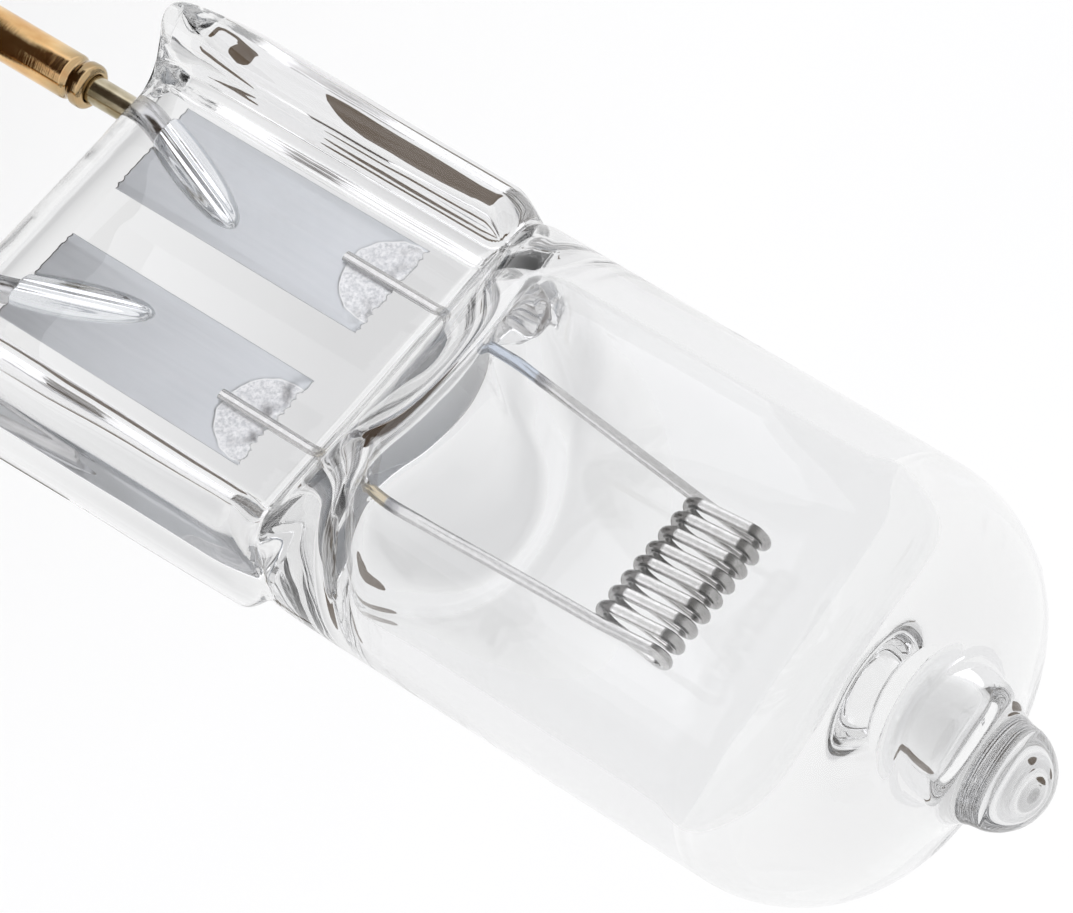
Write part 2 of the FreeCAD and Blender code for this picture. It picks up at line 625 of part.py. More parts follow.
# Filament: one wire, a leg on each foil and a flat coil between them

def bent_run(points, radius):
    """Straight runs through the points, joined by tangent arcs. Returns the edges."""
    edges = []
    start = points[0]
    for before, corner, after in zip(points, points[1:], points[2:]):
        back = (before - corner).normalize()
        on = (after - corner).normalize()
        half_turn = (math.pi - back.getAngle(on)) / 2
        tangent = radius * math.tan(half_turn)
        inward = (back + on).normalize()
        middle = corner + inward * (radius / math.cos(half_turn) - radius)
        edges.append(Part.LineSegment(start, corner + back * tangent).toShape())
        edges.append(Part.Arc(corner + back * tangent, middle, corner + on * tangent).toShape())
        start = corner + on * tangent
    edges.append(Part.LineSegment(start, points[-1]).toShape())
    return edges


def half_turn_edge(centre, bend, advance, front, up):
    """Half a turn of helix that goes on towards -X, from the given side over the given end of the coil."""
    helix = Part.makeHelix(2 * advance, advance, bend)
    turn = FreeCAD.Matrix(0, 0, -1, centre.x, front, 0, 0, centre.y, 0, up, 0, centre.z, 0, 0, 0, 1)
    helix.transformShape(turn)
    return helix.Edges


def filament_path():
    turns, pitch, bend = int(size("coil_turns")), size("coil_pitch"), size("coil_bend_radius")
    half = size("coil_height") / 2 - bend
    run_length, turn_length = 2 * half, math.pi * bend
    # each half of a turn goes on by half the pitch, shared evenly along the wire
    turn_step = pitch / 2 * turn_length / (run_length + turn_length)
    run_step = pitch / 2 - turn_step
    light = size("light_centre_height")
    low, high = light - half, light + half
    first_x = turns * pitch / 2

    leg_y = foil_front + size("leg_weld_flat") - size("wire_diameter") / 2
    leg_x = size("leg_spacing") / 2
    leg_low = base_height + size("foil_above_base") + size("foil_length") - size("leg_on_foil")
    leg_high = floor + size("leg_straight_above_floor")
    radius = size("leg_bend_radius")

    edges = []
    run_x = first_x + turn_step / 2
    edges += bent_run([vector(leg_x, leg_y, leg_low), vector(leg_x, leg_y, leg_high),
                       vector(run_x + run_step, -bend, low), vector(run_x, -bend, high)], radius)
    for turn in range(turns + 1):
        top_x = first_x - turn * pitch
        edges += half_turn_edge(vector(top_x + turn_step / 2, 0, high), bend, turn_step, -1, 1)
        if turn == turns:
            break
        back_x = top_x - turn_step / 2
        edges.append(Part.LineSegment(vector(back_x, bend, high), vector(back_x - run_step, bend, low)).toShape())
        low_x = back_x - run_step
        edges += half_turn_edge(vector(low_x, 0, low), bend, turn_step, 1, -1)
        front_x = low_x - turn_step
        edges.append(Part.LineSegment(vector(front_x, -bend, low), vector(front_x - run_step, -bend, high)).toShape())
    last_x = -first_x - turn_step / 2
    edges += bent_run([vector(last_x, bend, high), vector(last_x - run_step, bend, low),
                       vector(-leg_x, leg_y, leg_high), vector(-leg_x, leg_y, leg_low)], radius)
    return Part.Wire(edges)


def filament_wire():
    path = doc.addObject("Part::Feature", "filament_path")
    path.Shape = filament_path()
    start = path.Shape.Edges[0].Vertexes[0].Point
    section = doc.addObject("Part::Circle", "filament_section")
    section.setExpression("Radius", "Sizes.wire_diameter / 2")
    section.Placement.Base = start
    wire = doc.addObject("Part::Sweep", "filament_wire")
    wire.Sections = [section]
    wire.Spine = (path, [])
    wire.Solid = True
    wire.Frenet = False
    doc.recompute()
    return wire


# Assembly

glass = new_body("glass_outside")
bulb_outside(glass)
jaw_cut(glass, "jaws", (size("web_thickness") / 2, web_top), bulb_radius, "shoulder_round",
        ("Sizes.web_thickness / 2", WEB_TOP), "Sizes.bulb_diameter / 2", "2 * Sizes.bulb_diameter")
seal(glass)
round_edges(glass, "rib_roots", "Sizes.rib_root_fillet", is_rib_root)
round_edges(glass, "base_rounding", "Sizes.base_round", is_base_edge)

hollow = new_body("bulb_hollow")
bulb_hollow(hollow)
jaw_cut(hollow, "hollow_jaws", (size("floor_half_width"), floor), inner_radius, "floor_shoulder_round",
        ("Sizes.floor_half_width", FLOOR), INNER_RADIUS, "2 * Sizes.bulb_diameter")

nodes = []
pins, leads, foils = [], [], []
for side, word in ((-1, "left"), (1, "right")):
    pins.append(contact_pin(side, "contact_pin_" + word))
    foils.append(foil(side, "foil_" + word))
    lead = cut("lead_on_foil_" + word, lead_wire(side, "lead_" + word), foils[-1])
    lead.Label = "outer_lead_" + word
    leads.append(lead)

filament = filament_wire()
for strip in foils:
    filament = cut("filament_on_" + strip.Name, filament, strip)
filament.Label = "filament"

envelope = cut("glass_hollow", glass, hollow)
for piece in foils + leads + [filament]:
    envelope = cut("glass_round_" + piece.Name, envelope, piece)
envelope.Label = "glass_envelope"

nodes = [envelope, filament] + foils + leads + pins

# Checks before anything is written

doc.recompute()
for item in doc.Objects:
    if "Invalid" in item.State or "Error" in item.State:
        raise RuntimeError("%s failed: %s" % (item.Label, item.State))
for node in nodes:
    if node.Shape.isNull() or not node.Shape.isValid():
        raise RuntimeError("%s has no valid shape" % node.Label)

os.makedirs("parts", exist_ok=True)
for node in nodes:
    node.Shape.exportStep("parts/%s.step" % node.Label)
    box = node.Shape.BoundBox
    print("%-18s %2d solid, %8.3f mm3, z %.2f to %.2f" % (node.Label, len(node.Shape.Solids), node.Shape.Volume,
                                                       box.ZMin, box.ZMax))
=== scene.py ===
# %% [markdown]
# # A halogen capsule bulb, step by step
# The real object is a clear quartz capsule about 40 mm tall: a round bulb with an exhaust tip, a pinch
# seal that was pressed flat while the glass was soft, foils and leads sealed in it, a coiled filament,
# and two contact pins. The solid model is loaded first, as a fixed frame in metres. The looks are then
# built around it.

# %% Load the solid model
import math

import bpy
import numpy as np
from mathutils import Matrix, Vector, noise


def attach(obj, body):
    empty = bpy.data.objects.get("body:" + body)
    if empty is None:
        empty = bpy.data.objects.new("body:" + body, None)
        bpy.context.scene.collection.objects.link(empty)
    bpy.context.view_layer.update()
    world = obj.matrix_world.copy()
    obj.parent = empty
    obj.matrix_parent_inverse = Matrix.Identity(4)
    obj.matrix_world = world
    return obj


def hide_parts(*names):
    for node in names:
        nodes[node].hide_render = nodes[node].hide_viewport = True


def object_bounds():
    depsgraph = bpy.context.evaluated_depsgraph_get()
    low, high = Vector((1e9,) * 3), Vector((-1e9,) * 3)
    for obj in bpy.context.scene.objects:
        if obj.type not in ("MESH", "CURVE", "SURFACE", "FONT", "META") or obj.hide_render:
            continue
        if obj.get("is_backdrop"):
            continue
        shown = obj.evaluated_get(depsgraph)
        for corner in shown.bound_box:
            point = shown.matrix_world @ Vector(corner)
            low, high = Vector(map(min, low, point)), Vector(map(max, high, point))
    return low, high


MM = 0.001
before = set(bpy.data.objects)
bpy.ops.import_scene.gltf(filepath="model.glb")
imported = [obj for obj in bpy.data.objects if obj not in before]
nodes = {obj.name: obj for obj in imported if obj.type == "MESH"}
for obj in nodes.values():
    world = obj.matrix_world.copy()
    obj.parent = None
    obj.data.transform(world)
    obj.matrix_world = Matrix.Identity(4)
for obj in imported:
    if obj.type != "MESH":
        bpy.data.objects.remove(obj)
cad_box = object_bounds()
scene = bpy.context.scene
print("solid model:", sorted(nodes), "top at %.2f mm" % (cad_box[1].z / MM))

# %% [markdown]
# ## The camera
# The photograph is a close-up with a long lens, and the bulb lies across the picture. The same picture
# comes from a camera that stands off the seal's face, looks down a little and is rolled about its own
# line of sight. A camera could be aimed with a constraint, but a matrix built from the three angles
# states the pose in one place.

# %% Camera at the photograph's viewing angle
PHOTO_WIDTH, PHOTO_HEIGHT = 1073, 913
AZIMUTH, ELEVATION, ROLL = (math.radians(angle) for angle in (23.0, 23.5, 121.2))
FOCAL_PIXELS = 4740
SENSOR_WIDTH = 36
DISTANCE = 113.0 * MM
LIGHT_CENTRE = Vector((0, 0, 30.0 * MM))
LIGHT_CENTRE_PIXEL = (685.5, 582.0)


def photo_camera():
    away = Vector((math.cos(ELEVATION) * math.sin(AZIMUTH), -math.cos(ELEVATION) * math.cos(AZIMUTH),
                   math.sin(ELEVATION)))
    level = (-away).cross(Vector((0, 0, 1))).normalized()
    upright = level.cross(-away)
    right = level * math.cos(ROLL) + upright * math.sin(ROLL)
    up = upright * math.cos(ROLL) - level * math.sin(ROLL)
    across = (LIGHT_CENTRE_PIXEL[0] - PHOTO_WIDTH / 2) / FOCAL_PIXELS * DISTANCE
    down = (LIGHT_CENTRE_PIXEL[1] - PHOTO_HEIGHT / 2) / FOCAL_PIXELS * DISTANCE
    place = LIGHT_CENTRE + away * DISTANCE - right * across + up * down
    data = bpy.data.cameras.new("photo_camera")
    data.sensor_width = SENSOR_WIDTH
    data.lens = FOCAL_PIXELS * data.sensor_width / PHOTO_WIDTH
    data.clip_start = 0.001
    data.clip_end = 20
    camera = bpy.data.objects.new("photo_camera", data)
    turn = Matrix((right, up, away)).transposed()
    camera.matrix_world = Matrix.Translation(place) @ turn.to_4x4()
    scene.collection.objects.link(camera)
    return camera


scene.camera = photo_camera()
print("camera %.0f mm away, lens %.0f mm" % (DISTANCE / MM, scene.camera.data.lens))

# %% [markdown]
# ## The shape of the glass
# The tube was round until two jaws pressed its end flat. Glass squeezed out sideways stands up as two
# ribs, and a sloping shoulder leads from the flat web to the bulb. Box modelling would need many
# hand-placed loops here. Instead every height gets one closed section, worked out as a half thickness
# over the width: the smaller of the jaw's slope and the round tube, or the rib where that is thicker.
# Soft minima and maxima give the glass its melted transitions.

# %% Soft minimum and maximum
def soft_max(one, two, blend):
    share = np.clip(0.5 + 0.5 * (one - two) / blend, 0, 1)
    return two + (one - two) * share + blend * share * (1 - share)


def soft_min(one, two, blend):
    return -soft_max(-np.asarray(one), -np.asarray(two), blend)


def smooth_step(value, low, high):
    share = np.clip((value - low) / (high - low), 0, 1)
    return share * share * (3 - 2 * share)


print("soft maximum of 1 and 1 over 0.4:", soft_max(1.0, 1.0, 0.4))

# %% [markdown]
# The dome is a chain of arcs that touch: the rounded edge, the flatter crown, the hollow fillet at the
# root of the tip, the tip's tapering neck and its round cap. Such a profile could be drawn as a curve
# and spun with a Screw modifier. Writing each arc by its centre keeps it exact, and its points serve
# the sections further down.

# %% Profile of the dome and the exhaust tip
BULB_RADIUS = 5.75
DOME_START = 34.4
EDGE_RADIUS = BULB_RADIUS * 0.695
CROWN_RADIUS = 12.0
CROWN_CENTRE = DOME_START - math.sqrt((CROWN_RADIUS - EDGE_RADIUS) ** 2 - (BULB_RADIUS - EDGE_RADIUS) ** 2)
TIP_RADIUS = 1.34
TIP_ABOVE_CROWN = 0.86
TIP_RIM = CROWN_CENTRE + CROWN_RADIUS + TIP_ABOVE_CROWN
TIP_FILLET = 0.95
TIP_TAPER = math.radians(8)
TIP_CAP = 1.4


def arc_points(centre, radius, first, last, count):
    """Points (radius, height) along an arc of the turned profile, angles in radians."""
    angles = np.linspace(first, last, count)
    return np.stack([centre[0] + radius * np.cos(angles), centre[1] + radius * np.sin(angles)], axis=1)


def dome_profile():
    edge_centre = np.array([BULB_RADIUS - EDGE_RADIUS, DOME_START])
    crown_centre = np.array([0.0, CROWN_CENTRE])
    edge_angle = math.atan2(edge_centre[1] - crown_centre[1], edge_centre[0])
    slide = np.array([math.sin(TIP_TAPER), -math.cos(TIP_TAPER)])
    outward = np.array([math.cos(TIP_TAPER), math.sin(TIP_TAPER)])
    rim = np.array([TIP_RADIUS, TIP_RIM])
    start = rim + outward * TIP_FILLET - crown_centre
    along = start @ slide
    neck = -along - math.sqrt(along ** 2 - (start @ start - (CROWN_RADIUS + TIP_FILLET) ** 2))
    fillet_centre = rim + slide * neck + outward * TIP_FILLET
    crown_angle = math.atan2(*(fillet_centre - crown_centre)[::-1])
    cap_centre = np.array([0.0, TIP_RIM - math.sqrt(TIP_CAP ** 2 - TIP_RADIUS ** 2)])
    cap_angle = math.atan2(TIP_RIM - cap_centre[1], TIP_RADIUS)
    return np.concatenate([
        arc_points(edge_centre, EDGE_RADIUS, 0, edge_angle, 30),
        arc_points(crown_centre, CROWN_RADIUS, edge_angle, crown_angle, 9)[1:],
        arc_points(fillet_centre, TIP_FILLET, crown_angle - math.pi, TIP_TAPER - math.pi, 12)[1:],
        arc_points(cap_centre, TIP_CAP, cap_angle, math.pi / 2, 14),
    ])


outer_dome = dome_profile()
print("dome of %d points, top at %.2f mm" % (len(outer_dome), outer_dome[-1, 1]))

# %% [markdown]
# The hollow follows the tube at the wall's thickness, but its top lies lower than the dome: the exhaust
# tube was melted off there, and the glass ran together. What is left of the tube's bore is a short
# round pit with a rolled lip. A Solidify modifier would give a wall of one thickness, so the hollow
# gets its own chain of arcs.

# %% Profile of the hollow's top
WALL = 0.95
INNER_RADIUS = BULB_RADIUS - WALL
INNER_EDGE = 2.6
INNER_CROWN = 11.0
THICK_TOP = 2.4
INNER_TOP = CROWN_CENTRE + CROWN_RADIUS - THICK_TOP
PIT_RADIUS = 1.6
LIP_RADIUS = 0.35


def hollow_profile():
    crown_centre = np.array([0.0, INNER_TOP - INNER_CROWN])
    edge_x = INNER_RADIUS - INNER_EDGE
    edge_rise = math.sqrt((INNER_CROWN - INNER_EDGE) ** 2 - edge_x ** 2)
    edge_centre = np.array([edge_x, crown_centre[1] + edge_rise])
    edge_angle = math.atan2(edge_centre[1] - crown_centre[1], edge_centre[0])
    lip_x = PIT_RADIUS + LIP_RADIUS
    lip_rise = math.sqrt((INNER_CROWN + LIP_RADIUS) ** 2 - lip_x ** 2)
    lip_centre = np.array([lip_x, crown_centre[1] + lip_rise])
    crown_angle = math.atan2(*(lip_centre - crown_centre)[::-1])
    return np.concatenate([
        arc_points(edge_centre, INNER_EDGE, 0, edge_angle, 26),
        arc_points(crown_centre, INNER_CROWN, edge_angle, crown_angle, 8)[1:],
        arc_points(lip_centre, LIP_RADIUS, crown_angle - math.pi, -math.pi, 14)[1:],
        arc_points((0, lip_centre[1]), PIT_RADIUS, 0, math.pi / 2, 16)[1:],
    ])


inner_dome = hollow_profile()
print("hollow closes at %.2f mm" % inner_dome[-1, 1])

# %% [markdown]
# The jaws leave two marks: the flat web with its slope up to the bulb, and the ribs beside it with
# rounded edges. Each is a formula for half the thickness at a place across the seal. Bevels on a box
# could round the ribs, but they could not fade into the bulb as the real ones do.

# %% Half thickness of the web, the slope and the ribs
BASE_HEIGHT = 9.8
WEB_TOP = 20.9
WEB_HALF = 1.05
RIB_INNER = 4.6
RIB_HALF = 2.3
RIB_ROUND = 0.75
RIB_FLANK = 4.0
SHOULDER_SLOPE = math.tan(math.radians(60))
SHOULDER_BEND = 0.35


def jaw_half_thickness(height):
    above = height - WEB_TOP
    return WEB_HALF + SHOULDER_SLOPE * soft_max(above, 0.0, SHOULDER_BEND)


def rib_half_thickness(width, outer, half, inset):
    inner = RIB_INNER + inset
    over_inner = np.minimum(width - inner, RIB_ROUND)
    rise = np.where(over_inner < 0, RIB_FLANK * over_inner,
                    np.sqrt(np.maximum(RIB_ROUND ** 2 - (RIB_ROUND - over_inner) ** 2, 0)))
    over_outer = np.clip(width - (outer - RIB_ROUND), 0, RIB_ROUND)
    fall = RIB_ROUND - np.sqrt(np.maximum(RIB_ROUND ** 2 - over_outer ** 2, 0))
    return half - RIB_ROUND + rise - fall


def rounding(above, radius):
    """How far a rounded edge stands back at a height above the base."""
    below = min(max(radius - above, 0.0), radius)
    return radius - math.sqrt(radius ** 2 - below ** 2)


print("the slope is %.2f mm thick 1 mm above the web" % (2 * jaw_half_thickness(WEB_TOP + 1)))

# %% [markdown]
# Now the section at one height. The web and the ribs are wide and thin, the bulb is round, and between
# them the jaw's slope cuts across the tube. The seal narrows a little upwards, and its base is drawn in
# where the glass cooled first. Each quarter of the section is spaced evenly along its length, so that
# the sections join into a smooth net of quads.

# %% One quarter of a section
SEAL_HALF_WIDTH = 6.2
SEAL_TAPER = 0.2
RUN_OUT_START = WEB_TOP - 0.4
RUN_OUT_END = WEB_TOP + 2.0
RUN_OUT_PULL = 0.5
SHOULDER_TOP = WEB_TOP + 3
JAW_REACH = 3
BASE_PULL = 0.3
BASE_PULL_HEIGHT = 2.5
WEB_BASE_ROUND = 0.8
RIB_BASE_ROUND = 0.5
CORNER_ROUND = 1.0
SHOULDER_BLEND = 1.4
RIB_BLEND = 0.4
SECTION_STEPS = 900


def spaced_evenly(points, count):
    steps = np.linalg.norm(np.diff(points, axis=0), axis=1)
    length = np.concatenate([[0], np.cumsum(steps)])
    wanted = np.linspace(0, length[-1], count)
    return np.stack([np.interp(wanted, length, points[:, k]) for k in range(2)], axis=1)


def glass_quarter(height, radius, count):
    """Points (x, y) from the middle of the front to the middle of the +X side."""
    above = height - BASE_HEIGHT
    up_seal = above / (WEB_TOP - BASE_HEIGHT)
    inset = rounding(above, RIB_BASE_ROUND)
    run_out = smooth_step(height, RUN_OUT_START, RUN_OUT_END)
    pulled_in = BASE_PULL * (1 - smooth_step(above, 0.0, BASE_PULL_HEIGHT))
    drawn_in = pulled_in + 0.5 * rounding(above, CORNER_ROUND)
    rib_outer = SEAL_HALF_WIDTH - SEAL_TAPER * min(up_seal, 1.0) - RUN_OUT_PULL * run_out - drawn_in
    rib_half = RIB_HALF - inset - (RIB_HALF - RIB_ROUND) * min(2 * run_out, 1.0)
    in_seal = height < RUN_OUT_START
    if in_seal:
        outer = rib_outer
    else:
        outer = max(rib_outer, radius) if height < SHOULDER_TOP else radius
    x = outer * np.sin(np.linspace(0, math.pi / 2, SECTION_STEPS))
    tube = np.sqrt(np.maximum(radius ** 2 - x ** 2, 0))
    jaw = jaw_half_thickness(height) - rounding(above, WEB_BASE_ROUND)
    if in_seal:
        y = np.full_like(x, jaw)
    elif jaw < radius + JAW_REACH:
        y = soft_min(jaw, tube, SHOULDER_BLEND)
    else:
        y = tube
    if rib_outer >= radius:
        rib = rib_half_thickness(x, rib_outer, rib_half, inset)
        y = np.where(x <= rib_outer, soft_max(y, rib, RIB_BLEND), y)
    y = np.maximum(y, 0)
    points = np.stack([np.append(x, outer), np.append(y, 0.0)], axis=1)
    return spaced_evenly(points, count)


web_middle = glass_quarter((BASE_HEIGHT + WEB_TOP) / 2, BULB_RADIUS, 60)
print("seal %.2f mm wide, %.2f mm thick at its ribs" % tuple(2 * web_middle.max(axis=0)))

# %% [markdown]
# A quarter mirrored twice closes the ring. Rings are joined by quads, the base ring is filled from
# front to back and the top ring meets in one point. Blender's Bridge Edge Loops does the same by hand.
# In code the order of the points is known, so no face can turn over.

# %% Rings and the net between them
def full_ring(quarter):
    """A closed ring from one quarter, counter-clockwise from above, from the middle of the -X side on."""
    front = np.concatenate([quarter[::-1] * [-1, -1], quarter[1:] * [1, -1]])
    back = front[::-1] * [1, -1]
    return np.concatenate([front, back[1:-1]])


def skin(rings, heights, outward):
    """Vertices and faces of a net of rings, filled at its base, whose last ring shrinks to a point."""
    around = len(rings[0])
    vertices = [(x, y, z) for ring, z in zip(rings[:-1], heights[:-1]) for x, y in ring]
    vertices.append((0.0, 0.0, heights[-1]))
    faces = []
    for row in range(len(rings) - 2):
        for k in range(around):
            a, b = row * around + k, row * around + (k + 1) % around
            faces.append((a, b, b + around, a + around))
    last = (len(rings) - 2) * around
    for k in range(around):
        faces.append((last + k, last + (k + 1) % around, len(vertices) - 1))
    faces += [(k, -k % around, (-k - 1) % around, k + 1) for k in range(around // 2)]
    if not outward:
        faces = [face[::-1] for face in faces]
    return vertices, faces


print("a quarter of %d points closes to a ring of %d" % (len(web_middle), len(full_ring(web_middle))))

# %% [markdown]
# The outside of the glass needs its rings close together only where it curves: at the rounded base,
# along the shoulder and over the dome. The long even stretches of the seal and the tube get few. A
# Remesh modifier would spend its faces evenly and blur the rounded base.

# %% Outer skin
QUARTER_POINTS = 88
DENSE_LOW = WEB_TOP - 1.0
DENSE_HIGH = WEB_TOP + 5.4
SMALLEST_RADIUS = 1e-4
seal_heights = np.concatenate([
    BASE_HEIGHT + CORNER_ROUND * (1 - np.cos(np.linspace(0, math.pi / 2, 14))),
    np.linspace(BASE_HEIGHT + CORNER_ROUND, DENSE_LOW, 12)[1:],
    np.linspace(DENSE_LOW, DENSE_HIGH, 72)[1:],
    np.linspace(DENSE_HIGH, DOME_START, 8)[1:-1],
])
outer_rows = [(z, BULB_RADIUS) for z in seal_heights] + [(z, r) for r, z in outer_dome]
outer_rings = [full_ring(glass_quarter(z, max(r, SMALLEST_RADIUS), QUARTER_POINTS)) for z, r in outer_rows]
outer_skin = skin(outer_rings, [z for z, _ in outer_rows], True)
print("outer skin: %d rings of %d points" % (len(outer_rings), len(outer_rings[0])))

# %% [markdown]
# The hot glass of the ribs ran a little past the jaws, so the ribs reach further down than the web.
# Proportional editing would drag them down by hand. Here a smooth share of the way across and of the
# height does it.

# %% Lower ends of the ribs
RIB_DROP = 0.42
RIB_DROP_REACH = 3


def lower_rib_ends(vertices):
    places = np.array(vertices)
    on_rib = smooth_step(np.abs(places[:, 0]), RIB_INNER - 1.2, RIB_INNER + 0.6)
    near_base = 1 - smooth_step(places[:, 2], BASE_HEIGHT, BASE_HEIGHT + RIB_DROP_REACH)
    places[:, 2] -= RIB_DROP * on_rib * near_base
    return [tuple(place) for place in places]


outer_skin = lower_rib_ends(outer_skin[0]), outer_skin[1]
print("the ribs end at %.2f mm" % min(z for _, _, z in outer_skin[0]))

# %% [markdown]
# The hollow is made in the same way. Its floor is a line along the seal, where the pressed walls met,
# and it opens upwards along the shoulder until it is round. The rings crowd towards the floor, because
# the light that passes there is bent the most.

# %% Skin of the hollow
INNER_POINTS = 44
FLOOR_HEIGHT = 22.2
FLOOR_ROUND = 6.0
FLOOR_CORNER = 2.1
FLOOR_BLEND = 2.6
FLOOR_DENSE = 4.6


def hollow_quarter(height, radius, count):
    above = height - FLOOR_HEIGHT
    outer = radius
    if above < FLOOR_CORNER:
        corner = np.clip(FLOOR_CORNER - above, 0, FLOOR_CORNER)
        outer = radius - FLOOR_CORNER + math.sqrt(FLOOR_CORNER ** 2 - corner ** 2)
    x = outer * np.sin(np.linspace(0, math.pi / 2, SECTION_STEPS))
    tube = radius * np.sqrt(np.maximum(1 - (x / outer) ** 2, 0))
    jaw = math.sqrt((SHOULDER_SLOPE * above + FLOOR_ROUND) ** 2 - FLOOR_ROUND ** 2)
    if jaw <= 0:
        y = 0 * tube
    elif jaw < radius + JAW_REACH:
        y = soft_min(jaw, tube, min(FLOOR_BLEND, 0.9 * jaw))
    else:
        y = tube
    return spaced_evenly(np.stack([x, np.maximum(y, 0)], axis=1), count)


floor_rise = np.linspace(0, 1, 34) ** 2 * FLOOR_DENSE
tube_rise = np.linspace(FLOOR_HEIGHT + FLOOR_DENSE, inner_dome[0, 1], 8)[1:-1]
hollow_heights = np.concatenate([FLOOR_HEIGHT + floor_rise, tube_rise])
inner_rows = [(z, INNER_RADIUS) for z in hollow_heights] + [(z, r) for r, z in inner_dome]
inner_rings = [full_ring(hollow_quarter(z, max(r, SMALLEST_RADIUS), INNER_POINTS)) for z, r in inner_rows]
inner_skin = skin(inner_rings, [z for z, _ in inner_rows], False)
print("hollow: %d rings of %d points" % (len(inner_rings), len(inner_rings[0])))

# %% [markdown]
# Between the two legs the soft glass crept up as a shallow lens, and the pit sits a little to one side,
# as a tube that is melted off by hand does. Both are small moves of the finished net, made like the
# ribs' ends.

# %% Lens on the floor and pit to one side
PIT_ASIDE = 0.25
PIT_BEND = 2.0
FLOOR_ARCH = 0.85
ARCH_HALF = 2.6
ARCH_REACH = 1.6


def settle(vertices):
    places = np.array(vertices)
    places[:, 0] -= PIT_ASIDE * smooth_step(places[:, 2], INNER_TOP - PIT_BEND, INNER_TOP)
    between = np.maximum(1 - (places[:, 0] / ARCH_HALF) ** 2, 0)
    low = np.exp(-((places[:, 2] - FLOOR_HEIGHT) / ARCH_REACH) ** 2)
    places[:, 2] += FLOOR_ARCH * between * low
    return [tuple(place) for place in places]


inner_skin = settle(inner_skin[0]), inner_skin[1]
print("the floor rises by %.2f mm between the legs" % FLOOR_ARCH)

# %% [markdown]
# ## Clear quartz
# Fused quartz bends light a little less than window glass, and its surface was melted, so it is
# perfectly smooth. A Glass shader would do, but the Principled one keeps its values when the model is
# exported. A trace of absorption greys the long ways through thick glass, where a plain surface colour
# would only count how many faces the light crosses.

# %% Finish of the glass
QUARTZ_TINT = (0.925, 0.927, 0.929, 1)
QUARTZ_IOR = 1.46
QUARTZ_ABSORPTION = 0.021


def clear_quartz():
    material = bpy.data.materials.new("clear_quartz")
    material.use_nodes = True
    shader = material.node_tree.nodes["Principled BSDF"]
    shader.inputs["Base Color"].default_value = QUARTZ_TINT
    shader.inputs["Roughness"].default_value = 0.0
    shader.inputs["IOR"].default_value = QUARTZ_IOR
    shader.inputs["Transmission Weight"].default_value = 1.0
    depth = material.node_tree.nodes.new("ShaderNodeVolumeAbsorption")
    depth.inputs["Color"].default_value = (0.0, 0.0, 0.0, 1)
    depth.inputs["Density"].default_value = QUARTZ_ABSORPTION / MM
    output = material.node_tree.nodes["Material Output"]
    material.node_tree.links.new(depth.outputs["Volume"], output.inputs["Volume"])
    return material


quartz = clear_quartz()
print("quartz with a refractive index of %.2f" % QUARTZ_IOR)

# %% [markdown]
# Both skins belong to one mesh: light then enters the wall, leaves it into the hollow, and enters it
# again. As two objects the skins would count as two solids, and the absorption would fill the hollow
# too. The piece takes the place of the solid model's glass.

# %% One mesh for the glass
def new_piece(name, vertices, faces, material, slot, replaced=()):
    mesh = bpy.data.meshes.new(name)
    mesh.from_pydata([(x * MM, y * MM, z * MM) for x, y, z in vertices], [], faces)
    mesh.shade_smooth()
    mesh.materials.append(material)
    piece = bpy.data.objects.new(name, mesh)
    scene.collection.objects.link(piece)
    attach(piece, "root")
    if replaced:
        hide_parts(*replaced)
    return piece


def joined(*skins):
    vertices, faces = [], []
    for more_vertices, more_faces in skins:
        first = len(vertices)
        vertices += more_vertices
        faces += [tuple(first + k for k in face) for face in more_faces]
    return vertices, faces


glass_net = joined(outer_skin, inner_skin)
glass = new_piece("quartz_envelope", *glass_net, quartz, "clear_quartz", ("glass_envelope",))
print("glass: %d faces" % len(glass.data.polygons))

# %% [markdown]
# Pressed glass is never perfectly even. A slow noise moves the skin by a few hundredths of a
# millimetre, more in the seal than in the drawn tube, so that the lines seen through it waver a little.
# A bump texture could fake the shading, but moving the net also bends what lies behind the glass. The
# waver is set back into the glass, so that the skin stays inside the solid model's box.

# %% Waver of the pressed glass
WAVER = 0.022
WAVER_SET_BACK = 0.75
SLOW_WAVES, QUICK_WAVES = 0.45, 1.3
QUICK_SHARE = 0.35
TUBE_CALM = 0.8


def waver(piece):
    places = np.empty(3 * len(piece.data.vertices), dtype=np.float32)
    piece.data.vertices.foreach_get("co", places)
    places = places.reshape(-1, 3)
    normals = np.empty(places.size, dtype=np.float32)
    piece.data.vertex_normals.foreach_get("vector", normals)
    spots = [Vector(place) / MM for place in places]
    sway = np.array([noise.noise(spot * SLOW_WAVES) + QUICK_SHARE * noise.noise(spot * QUICK_WAVES)
                     for spot in spots])
    pressed = 1.0 - TUBE_CALM * smooth_step(places[:, 2] / MM, WEB_TOP, WEB_TOP + 4)
    move = WAVER * MM * pressed * (sway - WAVER_SET_BACK)
    piece.data.vertices.foreach_set("co", (places + normals.reshape(-1, 3) * move[:, None]).ravel())
    piece.data.update()
    return move


moved = waver(glass)
print("the skin moves by %.3f to %.3f mm" % (moved.min() / MM, moved.max() / MM))

# %% [markdown]
# ## Node helper
# All finishes are node trees. A node could be dragged in and joined by hand in the Shader Editor. A
# small helper makes it, sets its values and joins it, so that each finish below reads as a short list
# of what it is made of.

